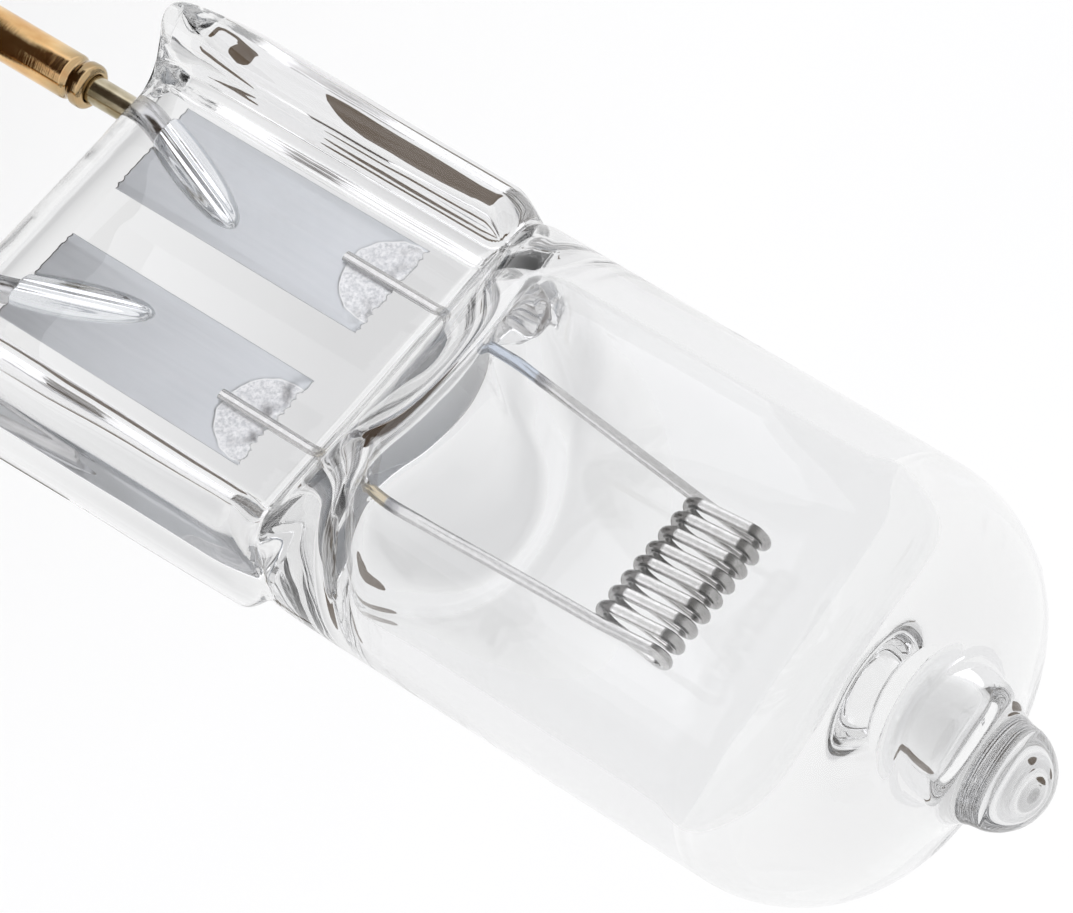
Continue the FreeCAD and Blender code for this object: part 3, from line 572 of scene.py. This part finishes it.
# %% Helper for node trees
class Finish:
    """A material with a Principled shader and a helper that adds nodes to it."""

    def __init__(self, name, **values):
        self.material = bpy.data.materials.new(name)
        self.material.use_nodes = True
        self.tree = self.material.node_tree
        self.shader = self.tree.nodes["Principled BSDF"]
        for socket, value in values.items():
            self.shader.inputs[socket.replace("_", " ")].default_value = value

    def set_or_join(self, target, value):
        if isinstance(value, bpy.types.NodeSocket):
            self.tree.links.new(value, target)
        else:
            target.default_value = value

    def node(self, kind, inputs=(), **settings):
        node = self.tree.nodes.new("ShaderNode" + kind)
        for name, value in settings.items():
            setattr(node, name, value)
        for socket, value in dict(inputs).items():
            self.set_or_join(node.inputs[socket], value)
        return node

    def feed(self, socket, source):
        self.tree.links.new(source, self.shader.inputs[socket])

    def calc(self, operation, *values):
        return self.node("Math", dict(enumerate(values)), operation=operation).outputs[0]

    def ramp(self, source, stops):
        node = self.node("ValToRGB", {"Fac": source})
        while len(node.color_ramp.elements) < len(stops):
            node.color_ramp.elements.new(0.5)
        for element, (place, colour) in zip(node.color_ramp.elements, stops):
            element.position = place
            element.color = (*colour, 1)
        return node.outputs["Color"]

    def places(self, stretch=(1, 1, 1)):
        """Object coordinates in millimetres, stretched along x, y and z."""
        source = self.node("TexCoord").outputs["Object"]
        scale = [factor / MM for factor in stretch]
        return self.node("VectorMath", {0: source, 1: scale}, operation="MULTIPLY").outputs[0]

    def noise(self, stretch, detail=3.0, roughness=0.6):
        inputs = {"Vector": self.places(stretch), "Scale": 1.0, "Detail": detail, "Roughness": roughness}
        return self.node("TexNoise", inputs).outputs["Fac"]

    def bump(self, height, depth):
        """Relief of the surface, with its depth in millimetres."""
        node = self.node("Bump", {"Height": height, "Distance": depth * MM, "Strength": 1.0})
        self.feed("Normal", node.outputs["Normal"])

    def grey(self, source, low, high):
        """The source's 0 to 1 mapped to a range of values."""
        inputs = {"Value": source, "To Min": low, "To Max": high}
        return self.node("MapRange", inputs).outputs["Result"]

    def rise(self, source, low, high):
        """0 up to the low value, 1 from the high one on, and an even rise between them."""
        inputs = {"Value": source, "From Min": low, "From Max": high}
        return self.node("MapRange", inputs).outputs["Result"]

    def mix(self, factor, one, two):
        node = self.node("Mix", data_type="RGBA")
        for socket, value in (("Factor_Float", factor), ("A_Color", one), ("B_Color", two)):
            self.set_or_join(next(item for item in node.inputs if item.identifier == socket), value)
        return next(item for item in node.outputs if item.identifier == "Result_Color")


print("node helper ready")

# %% [markdown]
# ## Molybdenum foils
# A foil a few hundredths of a millimetre thick carries the current through the seal, because a thick
# wire would crack the quartz. Its cut ends are ragged. At the outer end it drapes over the lead as a
# tapered swelling, and at the inner end the filament's leg is welded on a round patch. A cloth
# simulation could drape it, but the glass pressed it tight, so formulas for the swelling and the patch
# come closer.

# %% Swelling, weld patch and torn ends
FOIL_START = 11.25
LEAD_LEAN = math.radians(20)
LEAD_BEND_HEIGHT = 10.4
LEAD_FOOT = 3.175
SWELL_LENGTH = 3.4
SWELL_FORWARD, SWELL_FALL = 0.40, 0.14
FOLD_DEPTH, FOLD_SPACING = 0.022, 0.21
LEG_ACROSS = 2.45
PATCH_HEIGHT = 19.0
PATCH_RADIUS = 1.25
PATCH_BLUR = 0.06


def ragged(across, seed, depth):
    """A torn edge: a slow sway with sharp little notches."""
    slow = noise.noise(Vector((across * 0.9, seed, 0.0)))
    sharp = abs(noise.noise(Vector((across * 4.0, seed, 5.0))))
    return depth * (0.6 * slow + 1.1 * sharp)


def lead_place(height):
    """Distance of the lead's middle line from the bulb's axis inside the seal."""
    return LEAD_FOOT - math.tan(LEAD_LEAN) * max(height - LEAD_BEND_HEIGHT, 0)


def swelling(across, height):
    """How far the foil stands forward over the lead: a bullet with faint lengthwise folds."""
    along = max((height - FOIL_START) / SWELL_LENGTH, 0.0)
    if along >= 1:
        return 0.0
    blunt = math.sqrt(1 - along ** 16)
    off = abs(across - lead_place(height)) * math.cos(LEAD_LEAN)
    half_width = (0.47 + 0.45 * along - 0.66 * along ** 2) * blunt
    share = off / max(half_width, 1e-6)
    if share >= 1:
        return 0.0
    fold = FOLD_DEPTH * math.cos(off * 2 * math.pi / FOLD_SPACING) * (1 - share)
    return (SWELL_FORWARD - SWELL_FALL * along) * blunt * (1 - share ** 2.4) ** 0.75 + fold


def weld_patch(across, height):
    """1 inside the weld patch, 0 outside, with a narrow edge."""
    away = math.hypot(across - LEG_ACROSS, height - PATCH_HEIGHT)
    away += PATCH_BLUR * noise.noise(Vector((across * 3, height * 3, 2.0)))
    return float(1 - smooth_step(away, PATCH_RADIUS - PATCH_BLUR, PATCH_RADIUS + PATCH_BLUR))


print("the foil stands %.2f mm forward over the lead's end" % swelling(lead_place(FOIL_START), FOIL_START))

# %% [markdown]
# One foil is a fine grid of points, a front and a back, that thins out to sharp etched edges. A Grid
# with a Displace modifier could take the relief, but the torn ends also need the rows themselves to
# follow a ragged line. The share of the patch and of the drape is kept with each point, for the finish.

# %% Grid of one foil
FOIL_MIDDLE = 2.3
FOIL_WIDTH = 2.95
FOIL_LENGTH = 8.0
FOIL_FRONT = -0.39
FOIL_THICKNESS = 0.05
FOIL_COLUMNS = 96
FOIL_ROWS = 200
EDGE_THINNING = 0.25
TORN_LOW, TORN_HIGH = 0.10, 0.22
CRUMPLE, CRUMPLE_REACH = 0.09, 0.7
DENT = 0.012
PATCH_RIM = 0.015


def foil_sheet(side):
    """Front and back as (x, y, z) rows, and the patch's and the drape's share at each point."""
    front, back, patch, drape = [], [], [], []
    inner_edge = FOIL_MIDDLE - FOIL_WIDTH / 2
    for row in range(FOIL_ROWS + 1):
        for column in range(FOIL_COLUMNS + 1):
            across = inner_edge + FOIL_WIDTH * column / FOIL_COLUMNS
            low = FOIL_START + abs(ragged(across, 3.0 + side, TORN_LOW))
            high = FOIL_START + FOIL_LENGTH - abs(ragged(across, 8.0 + side, TORN_HIGH))
            height = low + (high - low) * row / FOIL_ROWS
            edge = min(column, FOIL_COLUMNS - column) / FOIL_COLUMNS * FOIL_WIDTH
            half = FOIL_THICKNESS / 2 * min(edge / EDGE_THINNING, 1.0)
            share = weld_patch(across, height)
            crumple = float(smooth_step(height, high - CRUMPLE_REACH, high)) * CRUMPLE
            crumple *= noise.noise(Vector((across * 2.2, height * 1.5, 11.0 + side)))
            dent = DENT * noise.noise(Vector((across * 0.8, height * 0.5, 20.0 + side)))
            rim = PATCH_RIM * max(0.0, 1 - abs(share - 0.5) * 2)
            swell = swelling(across, height)
            middle = FOIL_FRONT + FOIL_THICKNESS / 2 - swell + crumple + dent - rim
            x = side * across
            front.append((x, middle - half, height))
            back.append((x, middle + half, height))
            patch.append(share)
            drape.append(float(smooth_step(swell, 0.0, 0.05)))
    return front, back, patch, drape


print("a foil of %d by %d quads" % (FOIL_COLUMNS, FOIL_ROWS))

# %% [markdown]
# Rolled molybdenum is a blue-grey metal with faint lengthwise streaks. The weld patch is coarse and
# bright, with a painted highlight: a paler ring painted along its rim, where the raised edge would
# catch the light. The drape over the lead was pulled smooth. Three materials with hard borders could
# show that. One finish that mixes by the shares kept at the points gives soft borders.

# %% Finish of the foils
def molybdenum_foil():
    finish = Finish("molybdenum_foil", Metallic=1.0)
    patch = finish.node("Attribute", attribute_name="weld_patch").outputs["Fac"]
    drape = finish.node("Attribute", attribute_name="drape").outputs["Fac"]
    streaks = finish.noise((5.0, 5.0, 0.25), detail=5)
    mottle = finish.noise((0.5, 0.5, 0.35), detail=2)
    grain = finish.noise((11.0, 11.0, 11.0), detail=4, roughness=0.7)
    rolled = finish.ramp(streaks, [(0.3, (0.56, 0.585, 0.61)), (0.7, (0.66, 0.68, 0.705))])
    aged = finish.mix(finish.grey(mottle, 0.0, 0.5), rolled, (0.70, 0.71, 0.74, 1))
    welded = finish.ramp(grain, [(0.38, (0.60, 0.61, 0.63)), (0.62, (0.90, 0.90, 0.91))])
    sheet = finish.mix(patch, aged, welded)
    # painted highlight: a near-white ring along the weld patch's rim
    outline = finish.ramp(patch, [(0.15, (0, 0, 0)), (0.5, (1, 1, 1)), (0.85, (0, 0, 0))])
    with_painted_rim = finish.mix(outline, sheet, (0.95, 0.95, 0.95, 1))
    finish.feed("Base Color", finish.mix(drape, with_painted_rim, (0.86, 0.875, 0.90, 1)))
    satin = finish.grey(streaks, 0.30, 0.44)
    pulled = finish.node("Mix", {0: drape, 2: satin, 3: 0.10}).outputs[0]
    finish.feed("Roughness", pulled)
    finish.bump(finish.calc("MULTIPLY", grain, finish.grey(patch, 0.05, 1.0)), 0.006)
    return finish.material


foil_metal = molybdenum_foil()
print("foil finish of %d nodes" % len(foil_metal.node_tree.nodes))

# %% [markdown]
# The two grids of a foil are closed along their rim, so that each foil is a solid sheet and not a bare
# surface. The Solidify modifier would do this too, but it would thicken the sharp edges. The second
# foil mirrors the first, so its faces are turned to keep looking outwards.

# %% Two foils
def foil_piece(name, side, node_name, material):
    front, back, patch, drape = foil_sheet(side)
    wide = FOIL_COLUMNS + 1
    behind = len(front)
    faces = []
    for row in range(FOIL_ROWS):
        for column in range(FOIL_COLUMNS):
            a = row * wide + column
            quad = (a, a + 1, a + 1 + wide, a + wide)
            faces.append(quad if side > 0 else quad[::-1])
            turned = tuple(behind + k for k in quad)
            faces.append(turned[::-1] if side > 0 else turned)
    rim = list(range(FOIL_COLUMNS))
    rim += [k * wide + FOIL_COLUMNS for k in range(FOIL_ROWS)]
    rim += [FOIL_ROWS * wide + FOIL_COLUMNS - k for k in range(FOIL_COLUMNS)]
    rim += [(FOIL_ROWS - k) * wide for k in range(FOIL_ROWS)]
    for a, b in zip(rim, rim[1:] + rim[:1]):
        strip = (b, a, behind + a, behind + b)
        faces.append(strip if side > 0 else strip[::-1])
    piece = new_piece(name, front + back, faces, material, "molybdenum_foil", (node_name,))
    for label, shares in (("weld_patch", patch), ("drape", drape)):
        piece.data.attributes.new(label, "FLOAT", "POINT").data.foreach_set("value", shares + shares)
    return piece


SIDES = (("left", -1), ("right", 1))
foils = [foil_piece("foil_sheet_" + word, side, "foil_" + word, foil_metal) for word, side in SIDES]
print("foils of %d faces each" % len(foils[0].data.polygons))

# %% [markdown]
# ## Tungsten filament
# The coil has burned white hot, so its metal is bright and a little coarse. The legs stay cooler near
# the seal, where heat has left thin coloured films: blue-grey on one leg and straw on the other. The
# tight bends of the coil are painted near black, as painted shade for the dark surroundings they would
# mirror. A curve with a round bevel could redraw the wire, but the solid model's coil is already
# exact, so it is only dressed.

# %% Finish of the filament
COIL_HALF_LENGTH = 2.05
FILM_ENDS = (23.8, 23.0)
FILM_STARTS = (20.8, 21.6)


def drawn_tungsten():
    finish = Finish("drawn_tungsten", Metallic=1.0)
    split = finish.node("SeparateXYZ", {0: finish.places()})
    across, height = split.outputs["X"], split.outputs["Z"]
    grain = finish.noise((7.0, 7.0, 7.0), detail=5, roughness=0.65)
    bright = finish.ramp(grain, [(0.3, (0.62, 0.61, 0.60)), (0.7, (0.76, 0.755, 0.75))])
    drawn = finish.ramp(grain, [(0.3, (0.50, 0.495, 0.49)), (0.7, (0.62, 0.615, 0.61))])
    leg = finish.calc("GREATER_THAN", across, 0.0)
    past = finish.calc("SUBTRACT", height, finish.grey(leg, *FILM_ENDS))
    film = finish.mix(leg, (0.40, 0.44, 0.50, 1), (0.44, 0.38, 0.27, 1))
    ring = finish.ramp(past, [(0.0, (0, 0, 0)), (0.1, (1, 1, 1)), (0.22, (1, 1, 1)), (0.6, (0, 0, 0))])
    below = finish.calc("LESS_THAN", past, 0.05)
    filmed = finish.calc("MULTIPLY", below, finish.rise(height, *FILM_STARTS))
    legs = finish.mix(ring, finish.mix(filmed, drawn, film), (0.22, 0.22, 0.23, 1))
    far = finish.calc("ABSOLUTE", finish.calc("SUBTRACT", height, LIGHT_CENTRE.z / MM))
    # painted shade: the coil's turns far from its middle, its bends, are darkened to near black as painted
    # dark reflections, with the outermost ends a little lighter
    bend_shade = finish.ramp(far, [(0.66, (0, 0, 0)), (0.74, (1, 1, 1)), (0.86, (1, 1, 1)),
                             (0.98, (0.5, 0.5, 0.5))])
    coil = finish.mix(bend_shade, bright, (0.10, 0.095, 0.09, 1))
    in_coil = finish.calc("LESS_THAN", finish.calc("ABSOLUTE", across), COIL_HALF_LENGTH)
    finish.feed("Base Color", finish.mix(in_coil, legs, coil))
    finish.feed("Roughness", finish.grey(grain, 0.05, 0.14))
    finish.bump(grain, 0.003)
    return finish.material


def dress(node_name, material):
    node = nodes[node_name]
    node.data.materials.clear()
    node.data.materials.append(material)
    node.data.shade_smooth()
    return node


wire = dress("filament", drawn_tungsten())
print("filament dressed, %d faces" % len(wire.data.polygons))

# %% [markdown]
# ## Leads
# The bare leads are brass-coloured with an olive film where the torch passed, and silvery inside the
# glass. Faint lines from drawing the wire run along them. They are plain bent wires, so the solid
# model's are dressed too, and one height in the finish tells the two colours apart.

# %% Finish of the leads
def lead_wire():
    finish = Finish("lead_wire", Metallic=1.0)
    height = finish.node("SeparateXYZ", {0: finish.places()}).outputs["Z"]
    blotch = finish.noise((1.6, 1.6, 0.7), detail=4)
    lines = finish.noise((14.0, 14.0, 0.5), detail=3)
    bare = finish.ramp(blotch, [(0.35, (0.30, 0.25, 0.15)), (0.5, (0.52, 0.46, 0.33)),
                                (0.68, (0.66, 0.60, 0.48))])
    silver = finish.ramp(blotch, [(0.3, (0.42, 0.42, 0.43)), (0.7, (0.66, 0.66, 0.67))])
    sealed = finish.rise(height, BASE_HEIGHT - 0.2, BASE_HEIGHT + 0.6)
    finish.feed("Base Color", finish.mix(sealed, bare, silver))
    finish.feed("Roughness", finish.grey(lines, 0.10, 0.26))
    finish.bump(lines, 0.004)
    return finish.material


lead_metal = lead_wire()
leads = [dress("outer_lead_" + word, lead_metal) for word, _ in SIDES]
print(len(leads), "leads dressed")

# %% [markdown]
# ## Contact pins
# A pin is turned on a lathe: a round nose, a plain shaft, a crimp ring that grips the lead, and a
# rounded bead at the mouth of its socket. The Screw modifier turns a profile too. Turning it in code
# gives closed rings with no seam and the same number of sides everywhere.

# %% Turned shape of the pins
COLLAR_HEIGHT = 8.4
PIN_RADIUS = 0.635
PIN_NOSE = 0.45
CRIMP_MIDDLE = 7.87
CRIMP_HALF = 0.21
CRIMP_DEPTH = 0.08
BEAD_RADIUS = 0.16
SOCKET_RADIUS = 0.40
SOCKET_DEPTH = 0.5
MOUTH_CHAMFER = 0.04
PIN_SIDES = 72


def pin_profile():
    """Half outline of a pin as (radius, height), from the nose's middle to the inside of the socket."""
    nose = arc_points((PIN_RADIUS - PIN_NOSE, PIN_NOSE), PIN_NOSE, -math.pi / 2, 0, 12)
    shaft = [(PIN_RADIUS, 3.0), (PIN_RADIUS, 6.0)]
    ring_heights = np.linspace(-1, 1, 13)
    crimp = np.stack([PIN_RADIUS - CRIMP_DEPTH * np.cos(ring_heights * math.pi / 2) ** 2,
                      CRIMP_MIDDLE + CRIMP_HALF * ring_heights], axis=1)
    bead_centre = (PIN_RADIUS - BEAD_RADIUS, COLLAR_HEIGHT - BEAD_RADIUS)
    bead = arc_points(bead_centre, BEAD_RADIUS, 0, math.pi / 2, 8)
    mouth = [(SOCKET_RADIUS + MOUTH_CHAMFER, COLLAR_HEIGHT), (SOCKET_RADIUS, COLLAR_HEIGHT - MOUTH_CHAMFER),
             (SOCKET_RADIUS, COLLAR_HEIGHT - SOCKET_DEPTH)]
    return np.concatenate([[(0.0, 0.0)], nose, shaft, crimp, bead, mouth])


def lathe(profile, middle, sides):
    """A skin turned about an upright axis at (middle, 0)."""
    turns = [2 * math.pi * k / sides for k in range(sides)]
    vertices = [(middle + r * math.cos(turn), r * math.sin(turn), z) for r, z in profile for turn in turns]
    faces = []
    for row in range(len(profile) - 1):
        for k in range(sides):
            a, b = row * sides + k, row * sides + (k + 1) % sides
            faces.append((a, b, b + sides, a + sides))
    return vertices, faces


print("pin profile of %d points" % len(pin_profile()))

# %% [markdown]
# The pins are gilded. Faint turning lines run around them, and the gilding is darker where it meets the
# crimp. Scratches could be painted on, but noise that is squeezed along the axis makes the turning
# lines without any picture.

# %% Two gilded pins
def gilt_pin():
    finish = Finish("gilt_pin", Metallic=1.0)
    height = finish.node("SeparateXYZ", {0: finish.places()}).outputs["Z"]
    cloud = finish.noise((1.1, 1.1, 0.5), detail=4)
    rings = finish.noise((0.3, 0.3, 26.0), detail=3)
    gold = finish.ramp(cloud, [(0.3, (0.66, 0.34, 0.13)), (0.5, (0.84, 0.56, 0.27)),
                               (0.7, (0.93, 0.74, 0.46))])
    # the gilding is darker from just below the crimp up to the collar, mottled by the cloud noise
    near = finish.rise(height, CRIMP_MIDDLE - 0.9, CRIMP_MIDDLE)
    crimp_darkening = finish.calc("MULTIPLY", near, finish.grey(cloud, 0.25, 1.2))
    finish.feed("Base Color", finish.mix(crimp_darkening, gold, (0.30, 0.24, 0.15, 1)))
    finish.feed("Roughness", finish.grey(rings, 0.05, 0.16))
    finish.bump(rings, 0.003)
    return finish.material


pin_metal = gilt_pin()
for word, side in SIDES:
    turned = lathe(pin_profile(), side * LEAD_FOOT, PIN_SIDES)
    pin = new_piece("turned_pin_" + word, *turned, pin_metal, "gilt_pin", ("contact_pin_" + word,))
    print(pin.name, "of %d faces" % len(pin.data.polygons))

# %% [markdown]
# ## Floor and surround
# Clear glass is seen by what stands around it. A white floor and a white surround make it clear. Area
# lights would leave bright squares in the glass, so the world itself is the light. Light turns many
# times in the ribs, so it is followed for more bounces than is usual.

# %% Floor and surround
FLOOR_HALF = 4.0
SURROUND = 1.075
BOUNCES = 32


def pale_floor():
    finish = Finish("pale_floor", Roughness=0.9)
    finish.shader.inputs["Specular IOR Level"].default_value = 0.0
    paper = finish.noise((0.02, 0.02, 0.02), detail=2)
    finish.feed("Base Color", finish.ramp(paper, [(0.3, (0.925, 0.925, 0.93)), (0.7, (0.94, 0.94, 0.945))]))
    mesh = bpy.data.meshes.new("pale_floor")
    corners = [(a * FLOOR_HALF, b * FLOOR_HALF, 0) for a, b in ((-1, -1), (1, -1), (1, 1), (-1, 1))]
    mesh.from_pydata(corners, [], [(0, 1, 2, 3)])
    mesh.materials.append(finish.material)
    floor = bpy.data.objects.new("pale_floor", mesh)
    scene.collection.objects.link(floor)
    floor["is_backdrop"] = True
    return floor


floor = pale_floor()
world = bpy.data.worlds.new("white_surround")
world.use_nodes = True
world.node_tree.nodes["Background"].inputs["Color"].default_value = (1, 1, 1, 1)
world.node_tree.nodes["Background"].inputs["Strength"].default_value = SURROUND
scene.world = world
scene.view_settings.view_transform = "Standard"
scene.cycles.max_bounces = BOUNCES + 8
scene.cycles.glossy_bounces = BOUNCES
scene.cycles.transmission_bounces = BOUNCES
print(floor.name, "and", world.name)

# %% [markdown]
# ## Cards
# A card is a flat sheet that the glass and the metal mirror, as black and white paper does in a studio.
# It is hidden from the camera and from matt surfaces and throws no shadow, so it leaves no mark on the
# floor. An area light can be hidden in the same way, but it can't be dark. A card that glows less than
# white can.

# %% Helpers for cards
def soft_edge(finish, centre, half_width, half_depth, glow):
    """The card's glow in its middle, running out to the floor's white at its edge."""
    place = finish.node("NewGeometry").outputs["Position"]
    away = finish.node("VectorMath", {0: place, 1: centre}, operation="SUBTRACT").outputs[0]
    scale = (1 / half_width, 1 / half_depth, 0.0)
    share = finish.node("VectorMath", {0: away, 1: scale}, operation="MULTIPLY").outputs[0]
    length = finish.node("VectorMath", {0: share}, operation="LENGTH").outputs["Value"]
    return finish.ramp(length, [(0.25, glow), (1.0, (1, 1, 1))])


def card(name, centre, width, depth, glow, rounded=False, soft=False):
    """A level card that faces up, with its place and size in millimetres."""
    half_width = width * MM / 2
    half_depth = depth * MM / 2
    side = Vector((half_width, 0, 0))
    top = Vector((0, half_depth, 0))
    centre = Vector(centre) * MM
    if rounded:
        turns = [k * math.pi / 24 for k in range(48)]
        corners = [centre + side * math.cos(turn) + top * math.sin(turn) for turn in turns]
    else:
        corners = [centre + side * a + top * b for a, b in ((-1, -1), (1, -1), (1, 1), (-1, 1))]
    mesh = bpy.data.meshes.new(name)
    mesh.from_pydata(corners, [], [tuple(range(len(corners)))])
    finish = Finish(name, Base_Color=(0, 0, 0, 1), Emission_Color=(*glow, 1), Emission_Strength=1.0)
    finish.shader.inputs["Specular IOR Level"].default_value = 0.0
    if soft:
        finish.feed("Emission Color", soft_edge(finish, centre, half_width, half_depth, glow))
    mesh.materials.append(finish.material)
    piece = bpy.data.objects.new(name, mesh)
    piece.visible_camera = False
    piece.visible_diffuse = False
    piece.visible_shadow = False
    scene.collection.objects.link(piece)
    piece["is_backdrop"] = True
    return piece


print("card helpers ready")

# %% [markdown]
# A bright sheet in front gives the metal its shine. A soft grey one behind is a painted shadow that
# keeps the bulb from vanishing in white: it stands in for the bulb's own shadow on the floor, seen
# through the glass. A dark one below is painted shade where only the shadow under the bulb would be.
# It and dark ones in front and behind draw the edges of the glass. They lie close above the floor, and
# where two overlap, one lies a little higher.

# %% Bright and dark cards
DARK = (0.050, 0.030, 0.016)
BROWN = (0.12, 0.085, 0.055)
SHADOW_GREY = (0.76, 0.76, 0.765)
BRIGHT = (1.65, 1.65, 1.69)
cards = [
    card("front_light", (15, -42, 0.4), 190, 60, BRIGHT),
    # painted shadow: a soft grey patch on the floor behind, in place of the bulb's own shadow, seen through
    # the glass
    card("soft_shade", (-17, 42, 0.4), 44, 60, SHADOW_GREY, rounded=True, soft=True),
    # painted shade: a dark sheet under the bulb, where only its shadow would be, mirrored by the metal and
    # glass
    card("dark_under", (1, -3, 0.5), 20, 16, DARK, rounded=True),
    card("dark_before_pins", (1, -16, 0.6), 26, 12, DARK, rounded=True),
    card("dark_behind", (7.4, 35.0, 0.6), 7.0, 28, BROWN, rounded=True),
]
print(len(cards), "cards")

# %% [markdown]
# ## Sizes
# The dressed bulb must keep the solid model's box, so that it fits wherever the solid model does. Both
# boxes are printed, where they can be compared after each render.

# %% Print both boxes
visual_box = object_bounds()
for label, box in (("solid", cad_box), ("dressed", visual_box)):
    print(label, ["%.2f" % ((high - low) / MM) for low, high in zip(*box)])
